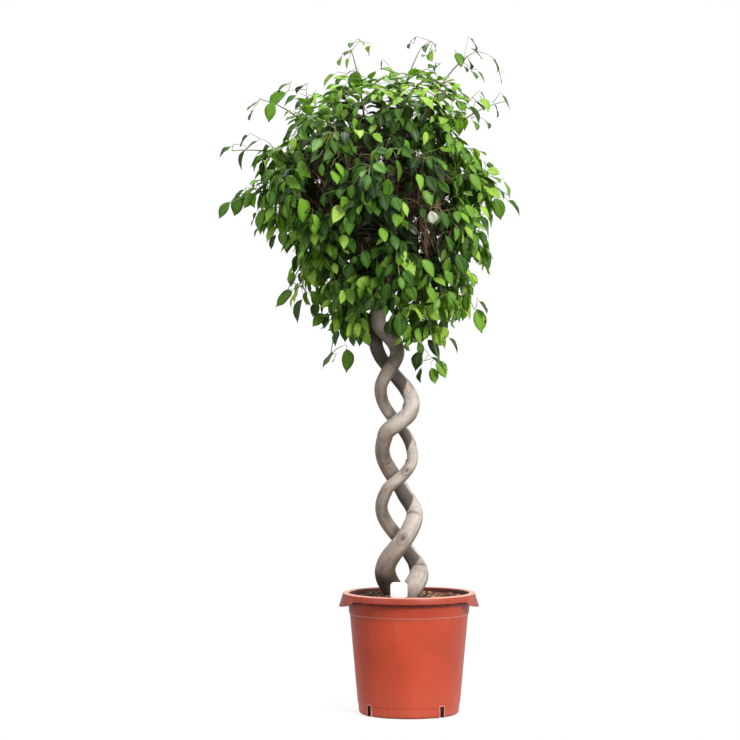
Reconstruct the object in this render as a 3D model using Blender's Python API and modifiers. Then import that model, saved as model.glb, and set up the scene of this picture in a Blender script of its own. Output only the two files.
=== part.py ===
"""Potted weeping fig: two stems wound round each other under a rounded, drooping crown,
in a round nursery pot with a turned-down collar, filled with potting soil.

The origin is the middle of the pot's underside, +Z is up and -Y is the front.
Sizes are in metres and angles in degrees unless a name says otherwise.
"""

import math
import random

import bmesh
import bpy
from mathutils import Matrix, Vector, noise
from mathutils.bvhtree import BVHTree

# Clearances between neighbouring pieces
SEAT_GAP = 0.0003
SOIL_GAP = 0.0004
HOLE_GAP = 0.0008

# Edges sharper than this, in degrees, stay sharp on round pieces
EDGE_ANGLE = 40

# Pot
POT_HEIGHT = 0.3025
POT_WALL = 0.003
POT_SIDES = 32
FLOOR_TOP = 0.007
FLOOR_CORNER = 0.004
FOOT_RADIUS = 0.1202
FOOT_CORNER = 0.0045
BASE_RADIUS = 0.1254
FOOT_BAND_TOP = 0.027
FOOT_BAND_DEPTH = 0.0012
STEP_HEIGHT = 0.2485
STEP_RADIUS = 0.1480
STEP_DEPTH = 0.0018
RIM_INNER_RADIUS = 0.1515
RIM_OUTER_RADIUS = 0.1655
RIM_THICKNESS = 0.0035
RIM_EDGE = 0.0030
COLLAR_BOTTOM = 0.2860
COLLAR_FLARE = 0.0022
COLLAR_WALL = 0.0025
FOOT_RING_WIDTH = 0.014
UNDERSIDE_RECESS = 0.003
CENTRE_DISC_RADIUS = 0.042
GRIP_ROOT_RISE = 0.0090
GRIP_ROOT_WALL = 0.0009
GRIP_ROOT_DEPTH = 0.0007
GRIP_BOTTOM = 0.2680
GRIP_REACH = 0.1755
GRIP_HALF_ANGLE = 33
GRIP_STEPS = 8
SLOT_ANGLES = (39, 129, 219, 309)
SLOT_WIDTH = 0.012
SLOT_TOP = 0.025
SLOT_OVERRUN = 0.010
GUSSETS = 12
GUSSET_WIDTH = 0.003

# Potting soil and the blank plant label
SOIL_TOP = 0.2900
SOIL_RINGS = (0.045, 0.090, 0.125)
SOIL_LUMP = 0.0035
SOIL_LUMPS_PER_METRE = 38
STEM_HOLE_SIDES = 20
CUTTER_OVERRUN = 0.020
LABEL_WIDTH = 0.042
LABEL_TOP = 0.3355
LABEL_SHOULDER = 0.2950
LABEL_POINT = 0.2100
LABEL_STAKE_WIDTH = 0.012
LABEL_THICKNESS = 0.0010
LABEL_CORNER = 0.009
LABEL_PLACE = (-0.026, -0.092)

# Stems: the axis they wind round, as heights with sideways places
AXIS_PLACES = ((0.20, -0.020), (0.43, -0.020), (0.58, -0.032), (0.73, -0.034), (0.80, -0.035),
               (0.87, -0.046), (0.93, -0.060), (1.05, -0.072), (1.50, -0.086))
# Distance of each stem's middle from that axis
WIND_RADII = ((0.20, 0.041), (0.35, 0.042), (0.51, 0.040), (0.66, 0.037), (0.80, 0.038),
              (0.87, 0.033), (0.93, 0.0255), (0.96, 0.024), (0.99, 0.0225), (1.06, 0.024), (1.50, 0.045))
# Angle round the axis of the thicker stem, from the front towards +X; the other stands opposite
WIND_ANGLES = ((0.27, -190), (0.3535, -95), (0.431, 0), (0.5085, 90), (0.5835, 180), (0.6585, 270),
               (0.731, 360), (0.8035, 450), (0.866, 540), (0.910, 606), (0.928, 610), (0.942, 600),
               (0.957, 582), (0.973, 567), (1.00, 558), (1.05, 500), (1.15, 455), (1.50, 430))
THICK_RADII = ((0.20, 0.0240), (0.29, 0.0265), (0.345, 0.0264), (0.37, 0.0250), (0.51, 0.0205),
               (0.66, 0.0188), (0.73, 0.0208), (0.79, 0.0195), (0.84, 0.0175), (0.93, 0.0182),
               (1.05, 0.0165), (1.25, 0.0115), (1.50, 0.0045))
THIN_RADII = ((0.20, 0.0205), (0.29, 0.0250), (0.325, 0.0258), (0.365, 0.0222), (0.390, 0.0192),
              (0.51, 0.0162), (0.66, 0.0138), (0.80, 0.0156), (0.93, 0.0190), (1.05, 0.0160),
              (1.25, 0.0110), (1.50, 0.0045))
# Sideways bends of each stem beyond its winding
THICK_SWAY = ((0.28, 0.002), (0.34, 0.001), (0.42, 0.003), (0.46, 0.0), (0.505, -0.001), (0.525, -0.006),
              (0.545, -0.0085), (0.585, -0.001), (0.625, 0.0035), (0.685, 0.0025), (0.705, -0.001),
              (0.725, 0.008), (0.745, 0.0180), (0.765, 0.0140), (0.785, 0.0055), (0.81, -0.0070),
              (0.84, -0.0125), (0.885, -0.002), (0.905, 0.002), (0.94, 0.0), (0.957, -0.0035),
              (0.972, -0.0080), (1.00, -0.0060), (1.03, 0.0))
THIN_SWAY = ((0.28, 0.001), (0.325, 0.0), (0.350, 0.002), (0.39, -0.0055), (0.415, -0.005), (0.44, -0.001),
             (0.48, -0.001), (0.55, -0.005), (0.566, -0.007), (0.585, 0.001), (0.605, 0.008),
             (0.628, 0.0095), (0.66, 0.0030), (0.70, 0.0), (0.76, 0.0), (0.80, 0.003), (0.84, 0.001),
             (0.88, 0.0), (0.922, -0.001), (0.938, -0.0065), (0.952, -0.0145), (0.972, -0.0200),
             (1.00, -0.0150), (1.03, 0.0))
STEM_SIDES = 10
STEM_BOTTOM = 0.200
STEM_STRAIGHT_TOP = 0.302
STEM_STEP = 0.021
WOUND_TOP = 1.010
CROWN_STEM_STEP = 0.045
STEM_TOPS = {"stem_thick": 1.39, "stem_thin": 1.36}

# Crown: a rounded body of sprays, with some that reach past it
CROWN_MIDDLE = Vector((-0.080, 0.0, 1.270))
CROWN_HALF_WIDTH = 0.290
CROWN_HALF_DEPTH = 0.285
CROWN_RISE = 0.330
CROWN_DROP = 0.320
BODY_SPRAYS = 29
HIGHEST_SINE = 0.96
LOWEST_SINE = -0.88
GOLDEN_ANGLE = 137.508
OUTER_SPRAY_TIPS = (
    (-0.445, -0.03, 1.275), (-0.375, 0.06, 1.540), (-0.145, -0.05, 1.655), (0.030, 0.04, 1.665),
    (0.165, -0.04, 1.650), (0.245, 0.06, 1.535), (0.250, -0.05, 1.290), (0.165, 0.04, 1.010),
    (0.075, -0.08, 0.875), (-0.195, -0.03, 0.900), (-0.305, 0.06, 1.060), (-0.445, 0.06, 1.410),
    (-0.100, -0.335, 1.330), (-0.070, 0.345, 1.300), (0.010, -0.270, 1.540), (-0.200, 0.270, 1.560),
)
LIMB_SHARE = 0.50
LIMB_LIFT = 0.030
LIMBS_PER_STEM = 6
LIMB_LOWEST = 1.030
LIMB_SPACING = 0.060
LIMB_REACH = 0.085
LIMB_RISE = 0.050
LIMB_SPREAD = 82
LIMB_BEND = (0.45, 0.25)
GOLDEN_SHARE = 0.618
LIMB_RADII = (0.0085, 0.0060)
LIMB_SIDES = 6
TWIG_RADII = (0.0046, 0.0030)
TWIG_SIDES = 4
TWIG_ROOT_DEPTH = 0.010
TWIG_LENGTH = 0.080
TWIG_BEND = 0.45
MOST_TWIGS_PER_LIMB = 5
CROWDING = 0.012
WOOD_AROUND = 1.16
WOOD_CLEARANCE = 0.001
WOOD_TRIES = 60
BEND_STEP = 0.004
END_SHARE = 0.5
CLEAR_STRETCH = 0.030
LEAST_TURN = 0.3

# Leafy sprays
SPRAY_STEM_RADIUS = 0.0024
SPRAY_ARCH = 0.055
LEAF_PAIRS = 5
NODE_LENGTH = 0.0035
BUD_LENGTH = 0.012
STEM_BEND = 0.35
STEM_TAPER = 0.45
BARE_SHARE = 0.14
LEAF_LENGTH = 0.072
LEAF_WIDTH = 0.038
LEAF_THICKNESS = 0.0017
LEAF_SHOULDER = (0.34, 0.96)
LEAF_WAIST = (0.70, 0.66)
LEAF_FOLD = 0.22
LEAF_SAG = 0.16
LEAF_HANG = 0.6
LEAF_OUT = 0.9
LEAF_SPREAD = 0.35
LEAF_LEANS = (-0.1, 0.8)
LEAF_DROOPS = (0.4, 1.6)
LEAF_ROLL = 0.5
LEAF_SCALES = (0.84, 1.12)
LEAST_LEAF_TURN = 0.25
SHRINK_PER_TRY = 0.018
LEAF_CLEARANCE = 0.0012
STEM_CLEARANCE = 0.0008
LEAF_ROOT_GAP = 0.001
LEAF_TRIES = 16
STEM_TRIES = 60
TIP_STEP = 0.0015
BOW_STEP = 0.003
SEED = 20

COLOURS = {
    "terracotta_plastic": ((0.55, 0.105, 0.050), 0.42),
    "potting_soil": ((0.105, 0.050, 0.026), 0.95),
    "label_plastic": ((0.86, 0.86, 0.84), 0.45),
    "bark": ((0.300, 0.235, 0.180), 0.80),
    "leaf": ((0.075, 0.190, 0.030), 0.38),
}


def clear_scene():
    """Removes what the startup file holds."""
    for obj in list(bpy.data.objects):
        bpy.data.objects.remove(obj, do_unlink=True)


def new_collection(name):
    """Adds a collection to the scene."""
    made = bpy.data.collections.new(name)
    bpy.context.scene.collection.children.link(made)
    return made


def new_material(name):
    """A Principled material with the part's colour and roughness."""
    colour, roughness = COLOURS[name]
    material = bpy.data.materials.new(name)
    material.use_nodes = True
    shader = material.node_tree.nodes["Principled BSDF"]
    shader.inputs["Base Color"].default_value = (*colour, 1.0)
    shader.inputs["Roughness"].default_value = roughness
    shader.inputs["Metallic"].default_value = 0.0
    return material


def new_object(name, mesh, collection, material=None):
    """Links a mesh as an object of the collection."""
    obj = bpy.data.objects.new(name, mesh)
    collection.objects.link(obj)
    if material is not None:
        mesh.materials.clear()
        mesh.materials.append(material)
    return obj


def mesh_of(bm, name):
    """Turns a bmesh into a mesh with its faces pointing out, and frees it."""
    bmesh.ops.recalc_face_normals(bm, faces=bm.faces)
    mesh = bpy.data.meshes.new(name)
    bm.to_mesh(mesh)
    bm.free()
    return mesh


def evaluated_mesh(obj):
    """The object's mesh with its modifiers applied."""
    graph = bpy.context.evaluated_depsgraph_get()
    graph.update()
    return bpy.data.meshes.new_from_object(obj.evaluated_get(graph), depsgraph=graph)


def between(places, z):
    """Value at height z on a smooth curve through (height, value) places."""
    if z <= places[0][0]:
        return places[0][1]
    if z >= places[-1][0]:
        return places[-1][1]
    i = next(k for k in range(len(places) - 1) if places[k + 1][0] >= z)
    (z0, v0), (z1, v1) = places[i], places[i + 1]

    def slope(k):
        if k in (0, len(places) - 1):
            return 0.0 if k else (places[1][1] - places[0][1]) / (places[1][0] - places[0][0])
        return (places[k + 1][1] - places[k - 1][1]) / (places[k + 1][0] - places[k - 1][0])

    t, span = (z - z0) / (z1 - z0), z1 - z0
    return (
        v0 * (1 + 2 * t) * (1 - t) ** 2
        + v1 * t * t * (3 - 2 * t)
        + span * slope(i) * t * (1 - t) ** 2
        - span * slope(i + 1) * t * t * (1 - t)
    )


# Turned pieces: the pot and the soil in it
def turned(name, profile, collection, material):
    """Turns a profile of (radius, height) points, from the axis round to the axis, about +Z."""
    bm = bmesh.new()
    verts = [bm.verts.new((r, 0.0, z)) for r, z in profile]
    for a, b in zip(verts, verts[1:]):
        bm.edges.new((a, b))
    mesh = bpy.data.meshes.new(name)
    bm.to_mesh(mesh)
    bm.free()
    obj = new_object(name, mesh, collection, material)
    screw = obj.modifiers.new("Turn", "SCREW")
    screw.axis = "Z"
    screw.steps = screw.render_steps = POT_SIDES
    screw.use_merge_vertices = True
    screw.merge_threshold = 0.00005
    return obj


def outer_radius(z):
    """Outer radius of the pot's plain wall at height z."""
    return BASE_RADIUS + (STEP_RADIUS - BASE_RADIUS) * z / STEP_HEIGHT


def inner_radius(z):
    """Inner radius of the pot's wall at height z."""
    return outer_radius(z) - POT_WALL


def pot_profile():
    """The pot's wall, collar and underside in one line, from the inner floor to the base's middle."""
    under_rim = POT_HEIGHT - RIM_THICKNESS
    collar = RIM_OUTER_RADIUS + COLLAR_FLARE
    ring_inner = FOOT_RADIUS - FOOT_RING_WIDTH
    band = FOOT_BAND_DEPTH * 2 / 3
    return [
        (0.0, FLOOR_TOP),
        (inner_radius(FLOOR_TOP) - FLOOR_CORNER, FLOOR_TOP),
        (inner_radius(FLOOR_TOP + FLOOR_CORNER), FLOOR_TOP + FLOOR_CORNER),
        (inner_radius(STEP_HEIGHT), STEP_HEIGHT),
        (RIM_INNER_RADIUS - RIM_EDGE * 0.4, POT_HEIGHT - RIM_EDGE),
        (RIM_INNER_RADIUS + RIM_EDGE * 0.2, POT_HEIGHT),
        (RIM_OUTER_RADIUS - RIM_EDGE, POT_HEIGHT),
        (RIM_OUTER_RADIUS, POT_HEIGHT - RIM_EDGE),
        (collar, COLLAR_BOTTOM),
        (collar - COLLAR_WALL, COLLAR_BOTTOM),
        (RIM_OUTER_RADIUS - COLLAR_WALL, under_rim),
        (RIM_INNER_RADIUS + POT_WALL - RIM_EDGE / 3, under_rim),
        (STEP_RADIUS + STEP_DEPTH, STEP_HEIGHT + STEP_DEPTH),
        (STEP_RADIUS, STEP_HEIGHT),
        (outer_radius(FOOT_BAND_TOP) + FOOT_BAND_DEPTH / 3, FOOT_BAND_TOP),
        (outer_radius(FOOT_BAND_TOP) - band, FOOT_BAND_TOP - FOOT_BAND_DEPTH),
        (outer_radius(FOOT_CORNER) - band, FOOT_CORNER),
        (FOOT_RADIUS, 0.0),
        (ring_inner, 0.0),
        (ring_inner - UNDERSIDE_RECESS, UNDERSIDE_RECESS),
        (CENTRE_DISC_RADIUS + UNDERSIDE_RECESS, UNDERSIDE_RECESS),
        (CENTRE_DISC_RADIUS, 0.0),
        (0.0, 0.0),
    ]


def box(name, size, place, turn, collection):
    """A box of the given size, turned about +Z after it is moved out to its place."""
    bm = bmesh.new()
    bmesh.ops.create_cube(bm, size=1.0)
    bmesh.ops.scale(bm, vec=size, verts=bm.verts)
    bmesh.ops.translate(bm, vec=place, verts=bm.verts)
    bmesh.ops.rotate(bm, cent=(0, 0, 0), matrix=Matrix.Rotation(turn, 3, "Z"), verts=bm.verts)
    return new_object(name, mesh_of(bm, name), collection)


def drain_slot(angle, collection):
    """Cutter for a drainage slot through the foot and the lowest wall; the angle is from the front."""
    inside = FOOT_RADIUS - FOOT_RING_WIDTH - UNDERSIDE_RECESS * 2
    outside = BASE_RADIUS + SLOT_OVERRUN
    size = (SLOT_WIDTH, outside - inside, SLOT_TOP + SLOT_OVERRUN)
    place = (0.0, -(inside + outside) / 2, (SLOT_TOP - SLOT_OVERRUN) / 2)
    return box(f"slot_{angle}", size, place, math.radians(angle), collection)


def gusset(number, collection):
    """A stiffening web between the pot's wall and its collar."""
    inside = RIM_INNER_RADIUS - POT_WALL / 6
    outside = RIM_OUTER_RADIUS - COLLAR_WALL / 4
    top, bottom = POT_HEIGHT - RIM_THICKNESS / 2, COLLAR_BOTTOM + GUSSET_WIDTH / 2
    size = (GUSSET_WIDTH, outside - inside, top - bottom)
    place = (0.0, -(inside + outside) / 2, (top + bottom) / 2)
    angle = math.tau * (number + 0.5) / GUSSETS
    return box(f"gusset_{number}", size, place, angle, collection)


def grip(name, middle, collection):
    """A grip: the collar drawn down and out at one side of the pot."""
    top = COLLAR_BOTTOM + GRIP_ROOT_RISE
    collar_at_top = RIM_OUTER_RADIUS + COLLAR_FLARE * (POT_HEIGHT - top) / (POT_HEIGHT - COLLAR_BOTTOM)
    root = collar_at_top - GRIP_ROOT_DEPTH
    section = (
        (root - GRIP_ROOT_WALL, top),
        (root, top),
        (GRIP_REACH, GRIP_BOTTOM),
        (GRIP_REACH - COLLAR_WALL, GRIP_BOTTOM),
    )
    bm = bmesh.new()
    face = bm.faces.new([bm.verts.new((r, 0.0, z)) for r, z in section])
    start = Matrix.Rotation(math.radians(middle - GRIP_HALF_ANGLE), 3, "Z")
    bmesh.ops.rotate(bm, cent=(0, 0, 0), matrix=start, verts=bm.verts)
    bmesh.ops.spin(
        bm,
        geom=list(face.verts) + list(face.edges) + [face],
        cent=(0, 0, 0),
        axis=(0, 0, 1),
        angle=math.radians(2 * GRIP_HALF_ANGLE),
        steps=GRIP_STEPS,
    )
    return new_object(name, mesh_of(bm, name), collection)


def join_all(obj, tools, operation="UNION", solver="EXACT"):
    """Unites obj with every object of the tools collection, or cuts them from it, and removes them."""
    boolean = obj.modifiers.new("Join", "BOOLEAN")
    boolean.operation = operation
    boolean.operand_type = "COLLECTION"
    boolean.collection = tools
    boolean.solver = solver
    mesh = evaluated_mesh(obj)
    material = obj.data.materials[0] if obj.data.materials else None
    obj.modifiers.clear()
    obj.data = mesh
    mesh.materials.clear()
    if material is not None:
        mesh.materials.append(material)
    for tool in list(tools.objects):
        bpy.data.objects.remove(tool, do_unlink=True)
    bpy.data.collections.remove(tools)


def shade_round(obj):
    """Shades a round piece smooth, apart from its real edges."""
    obj.data.shade_smooth()
    obj.data.set_sharp_from_angle(angle=math.radians(EDGE_ANGLE))


def make_pot(parts, material):
    """The pot: turned wall and collar, webs under the collar, two grips and four drainage slots."""
    pot = turned("pot", pot_profile(), parts, material)
    joined = new_collection("pot_additions")
    for number in range(GUSSETS):
        gusset(number, joined)
    grip("grip_right", 0, joined)
    grip("grip_left", 180, joined)
    join_all(pot, joined)
    cutters = new_collection("pot_cutters")
    for angle in SLOT_ANGLES:
        drain_slot(angle, cutters)
    join_all(pot, cutters, "DIFFERENCE")
    shade_round(pot)


def soil_lump(x, y):
    """Unevenness of the soil's surface at a place."""
    return SOIL_LUMP * noise.noise(Vector((x, y, 0.1)) * SOIL_LUMPS_PER_METRE)


def make_soil(parts, material, holes):
    """The soil: it fills the pot with a small gap, is lumpy on top and has a plain hole for each stem."""
    bottom = FLOOR_TOP + SOIL_GAP
    top_radius = inner_radius(STEP_HEIGHT)
    rim_share = (SOIL_TOP - STEP_HEIGHT) / (POT_HEIGHT - RIM_EDGE - STEP_HEIGHT)
    edge = top_radius + (RIM_INNER_RADIUS - RIM_EDGE * 0.4 - top_radius) * rim_share - 2 * SOIL_GAP
    profile = [
        (0.0, bottom),
        (inner_radius(FLOOR_TOP) - FLOOR_CORNER - 2 * SOIL_GAP, bottom),
        (inner_radius(FLOOR_TOP + FLOOR_CORNER) - 2 * SOIL_GAP, FLOOR_TOP + FLOOR_CORNER + SOIL_GAP),
        (top_radius - SOIL_GAP, STEP_HEIGHT),
        (edge, SOIL_TOP),
    ]
    profile += [(r, SOIL_TOP) for r in reversed(SOIL_RINGS)]
    profile.append((0.0, SOIL_TOP))
    soil = turned("potting_soil", profile[::-1], parts, material)
    mesh = evaluated_mesh(soil)
    for v in mesh.vertices:
        if v.co.z > SOIL_TOP - 1e-5 and math.hypot(v.co.x, v.co.y) < edge - 1e-4:
            v.co.z += soil_lump(v.co.x, v.co.y)
    soil.modifiers.clear()
    soil.data = mesh
    cutters = new_collection("soil_cutters")
    top = SOIL_TOP + CUTTER_OVERRUN
    for number, (place, radius) in enumerate(holes):
        bm = bmesh.new()
        wide, foot = radius + HOLE_GAP, STEM_BOTTOM - HOLE_GAP
        bmesh.ops.create_cone(
            bm, cap_ends=True, segments=STEM_HOLE_SIDES, radius1=wide, radius2=wide, depth=top - foot
        )
        bmesh.ops.translate(bm, vec=(place.x, place.y, (top + foot) / 2), verts=bm.verts)
        new_object(f"stem_hole_{number}", mesh_of(bm, "stem_hole"), cutters)
    foot = LABEL_POINT - SEAT_GAP
    slot = (LABEL_STAKE_WIDTH + 2 * SOIL_GAP, LABEL_THICKNESS + 2 * SOIL_GAP, top - foot)
    box("label_slot", slot, (*LABEL_PLACE, (top + foot) / 2), 0.0, cutters)
    join_all(soil, cutters, "DIFFERENCE")
    shade_round(soil)


def make_label(parts, material):
    """A blank plant label: a wide rounded head on a narrow pointed stake, stuck in the soil."""
    half, stake, corner = LABEL_WIDTH / 2, LABEL_STAKE_WIDTH / 2, LABEL_CORNER
    taper = LABEL_POINT + LABEL_STAKE_WIDTH
    outline = [(-stake, taper), (0.0, LABEL_POINT), (stake, taper)]
    outline += [(stake, LABEL_SHOULDER), (half, LABEL_SHOULDER + corner / 2)]
    for side, first in ((1, 0), (-1, 90)):
        for turn in (0, 45, 90):
            angle = math.radians(first + turn)
            x = side * (half - corner) + corner * math.cos(angle)
            outline.append((x, LABEL_TOP - corner + corner * math.sin(angle)))
    outline += [(-half, LABEL_SHOULDER + corner / 2), (-stake, LABEL_SHOULDER)]
    curve = bpy.data.curves.new("plant_label", "CURVE")
    curve.dimensions = "2D"
    curve.fill_mode = "BOTH"
    curve.extrude = LABEL_THICKNESS / 2
    spline = curve.splines.new("POLY")
    spline.points.add(len(outline) - 1)
    spline.use_cyclic_u = True
    for point, (x, z) in zip(spline.points, outline):
        point.co = (x, z, 0.0, 1.0)
    curve.materials.append(material)
    label = bpy.data.objects.new("plant_label", curve)
    label.rotation_euler = (math.radians(90), 0.0, 0.0)
    label.location = (*LABEL_PLACE, 0.0)
    parts.objects.link(label)


# Clearance between the pieces of the plant
class Obstacles:
    """Surfaces that a new stem or leaf must stay clear of, each with the spray that it belongs to."""

    def __init__(self):
        self.found = []

    def add(self, verts, faces, owner=None):
        middle = sum(verts, Vector()) / len(verts)
        radius = max((v - middle).length for v in verts)
        self.found.append((middle, radius, BVHTree.FromPolygons(verts, faces), owner))

    def meets(self, verts, faces, apart_from=None):
        middle = sum(verts, Vector()) / len(verts)
        radius = max((v - middle).length for v in verts)
        tree = BVHTree.FromPolygons(verts, faces)
        return any(
            (centre - middle).length < reach + radius and tree.overlap(other)
            for centre, reach, other, owner in self.found
            if apart_from is None or owner != apart_from
        )


def ring_at(place, heading, radius, sides):
    """Corners of a stem's section across its heading, the first of them below."""
    side = heading.cross(Vector((0, 0, 1)))
    side = side.normalized() if side.length > 1e-3 else Vector((1, 0, 0))
    up = side.cross(heading)
    turns = (math.pi - math.tau * k / sides for k in range(sides))
    return [place + (up * math.cos(a) - side * math.sin(a)) * radius for a in turns]


def widened(ring):
    """A ring with its corners moved out, for clearance tests."""
    middle = sum(ring, Vector()) / len(ring)
    return [corner + (corner - middle).normalized() * STEM_CLEARANCE for corner in ring]


def ring_surface(rings, end):
    """Vertices and faces of a surface through the rings to its end point, for clearance tests."""
    sides = len(rings[0])
    verts = [corner for ring in rings for corner in ring] + [end]
    faces = []
    for k in range(len(rings) - 1):
        for i in range(sides):
            j = (i + 1) % sides
            faces.append((k * sides + i, k * sides + j, (k + 1) * sides + j, (k + 1) * sides + i))
    last = (len(rings) - 1) * sides
    faces += [(last + i, last + (i + 1) % sides, len(verts) - 1) for i in range(sides)]
    return verts, faces


# Wood: the two stems with their limbs and twigs
def stem_point(name, z):
    """Middle of a stem at height z; below the soil it goes straight down."""
    height = max(z, STEM_STRAIGHT_TOP)
    opposite = 0 if name == "stem_thick" else 180
    angle = math.radians(between(WIND_ANGLES, height) + opposite)
    radius = between(WIND_RADII, height)
    sway = between(THICK_SWAY if name == "stem_thick" else THIN_SWAY, height)
    x = between(AXIS_PLACES, height) + radius * math.sin(angle) + sway
    return Vector((x, -radius * math.cos(angle), z))


def stem_radius(name, z):
    """Radius of a stem at height z; it is constant where the stem stands in its hole."""
    height = max(z, STEM_STRAIGHT_TOP)
    return between(THICK_RADII if name == "stem_thick" else THIN_RADII, height)


def tube(name, points, radii, sides, collection):
    """A tube with filled ends through the points, as a closed mesh object; sides is 4, 6, 8 or 10."""
    curve = bpy.data.curves.new(name, "CURVE")
    curve.dimensions = "3D"
    curve.bevel_depth = 1.0
    curve.bevel_resolution = (sides - 4) // 2
    curve.use_fill_caps = True
    spline = curve.splines.new("POLY")
    spline.points.add(len(points) - 1)
    for point, place, radius in zip(spline.points, points, radii):
        point.co = (*place, 1.0)
        point.radius = radius
    helper = bpy.data.objects.new(name, curve)
    collection.objects.link(helper)
    mesh = evaluated_mesh(helper)
    bpy.data.objects.remove(helper, do_unlink=True)
    bm = bmesh.new()
    bm.from_mesh(mesh)
    bmesh.ops.remove_doubles(bm, verts=bm.verts, dist=1e-6)
    return new_object(name, mesh_of(bm, name), collection)


def arc(start, bend, end, count):
    """Points of a quadratic curve from start to end that heads for bend first."""
    return [
        start * (1 - t) ** 2 + bend * 2 * t * (1 - t) + end * t * t
        for t in (k / count for k in range(count + 1))
    ]


def limbs_of(name, rng):
    """(start, bend, end) of each limb of a stem, on the stem's own side of the crown."""
    side = 0 if name == "stem_thick" else 180
    found = []
    for k in range(LIMBS_PER_STEM):
        z = LIMB_LOWEST + LIMB_SPACING * k
        share = ((k + 1) * GOLDEN_SHARE + 0.25) % 1.0
        turn = math.radians(side + LIMB_SPREAD * (2 * share - 1))
        out = Vector((math.cos(turn), math.sin(turn), 0.0))
        start = stem_point(name, z)
        reach = LIMB_REACH * rng.uniform(0.85, 1.15)
        rise = LIMB_RISE * rng.uniform(0.8, 1.3)
        bend = start + out * reach * LIMB_BEND[0] + Vector((0, 0, rise * LIMB_BEND[1]))
        end = start + out * reach + Vector((0, 0, rise))
        found.append((start, bend, end))
    return found


def spray_tips():
    """Where the sprays end: spread over the crown by the golden angle, then those that reach past it."""
    tips = []
    for k in range(BODY_SPRAYS):
        sine = HIGHEST_SINE + (LOWEST_SINE - HIGHEST_SINE) * k / (BODY_SPRAYS - 1)
        level = math.sqrt(1 - sine * sine)
        turn = math.radians(GOLDEN_ANGLE * k)
        tall = CROWN_RISE if sine > 0 else CROWN_DROP
        out = Vector((
            CROWN_HALF_WIDTH * level * math.cos(turn),
            CROWN_HALF_DEPTH * level * math.sin(turn),
            tall * sine,
        ))
        tips.append(CROWN_MIDDLE + out)
    return tips + [Vector(tip) for tip in OUTER_SPRAY_TIPS]


def twig_end(tip):
    """Where the wood ends and the leafy spray to this tip begins."""
    return CROWN_MIDDLE.lerp(tip, LIMB_SHARE) + Vector((0, 0, LIMB_LIFT))


def share_out(tips, carriers):
    """For each spray tip, the limb or stem top that carries it: the nearest behind it with room."""
    load = {key: 0 for key in carriers}
    carried_by = []
    for tip in tips:
        place = twig_end(tip)
        behind = place - (tip - place).normalized() * TWIG_LENGTH
        free = [key for key in carriers if load[key] < MOST_TWIGS_PER_LIMB]
        nearest = min(
            free, key=lambda key: (carriers[key][0] - behind).length + CROWDING * load[key]
        )
        load[nearest] += 1
        carried_by.append(nearest)
    return carried_by


def clear_arc(start, bend, end, radii, owner, obstacles, rng, tip=None):
    """An arc of wood clear of the other stem's wood, moved aside as far as it has to be.

    Where a spray goes on from it to a tip, the arc ends turned towards that tip, and the first
    stretch beyond its end is clear of all the wood.
    """
    for attempt in range(WOOD_TRIES):
        aside = Vector([rng.uniform(-1, 1) for _ in range(3)]) * BEND_STEP * attempt
        path = arc(start, bend + aside, end + (aside * END_SHARE if tip else Vector()), 3)
        rings = [
            ring_at(place, (b - a).normalized(), radius * WOOD_AROUND + WOOD_CLEARANCE, 6)
            for place, a, b, radius in zip(path, path, path[1:], radii)
        ]
        wood = ring_surface(rings, path[-1])
        clear = not obstacles.meets(*wood, apart_from=owner)
        if tip and clear:
            heading = (path[-1] - path[-2]).normalized()
            first, last = path[-1] + heading * SEAT_GAP, path[-1] + heading * CLEAR_STRETCH
            width = 2 * SPRAY_STEM_RADIUS
            stretch = [ring_at(place, heading, width, 6) for place in (first, last)]
            free = ring_surface(stretch, last + heading * width)
            faces_tip = heading.dot((tip - path[-1]).normalized()) > LEAST_TURN
            clear = faces_tip and not obstacles.meets(*free)
        if clear:
            obstacles.add(*wood, owner=owner)
            if tip:
                obstacles.add(*free)
            return path
    raise RuntimeError(f"no clear way for a branch of {owner} to {tuple(end)}")


def steps(first, last, step):
    """Even steps of about the given size from first to last."""
    count = round((last - first) / step)
    return [first + (last - first) * k / count for k in range(count + 1)]


def tapered(first_and_last):
    """Radii along the four points of a limb or twig."""
    first, last = first_and_last
    return [first + (last - first) * k / 3 for k in range(4)]


def add_mesh(obstacles, obj, owner=None):
    """Makes an object's mesh an obstacle."""
    mesh = obj.data
    verts = [v.co.copy() for v in mesh.vertices]
    obstacles.add(verts, [tuple(p.vertices) for p in mesh.polygons], owner)


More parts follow.
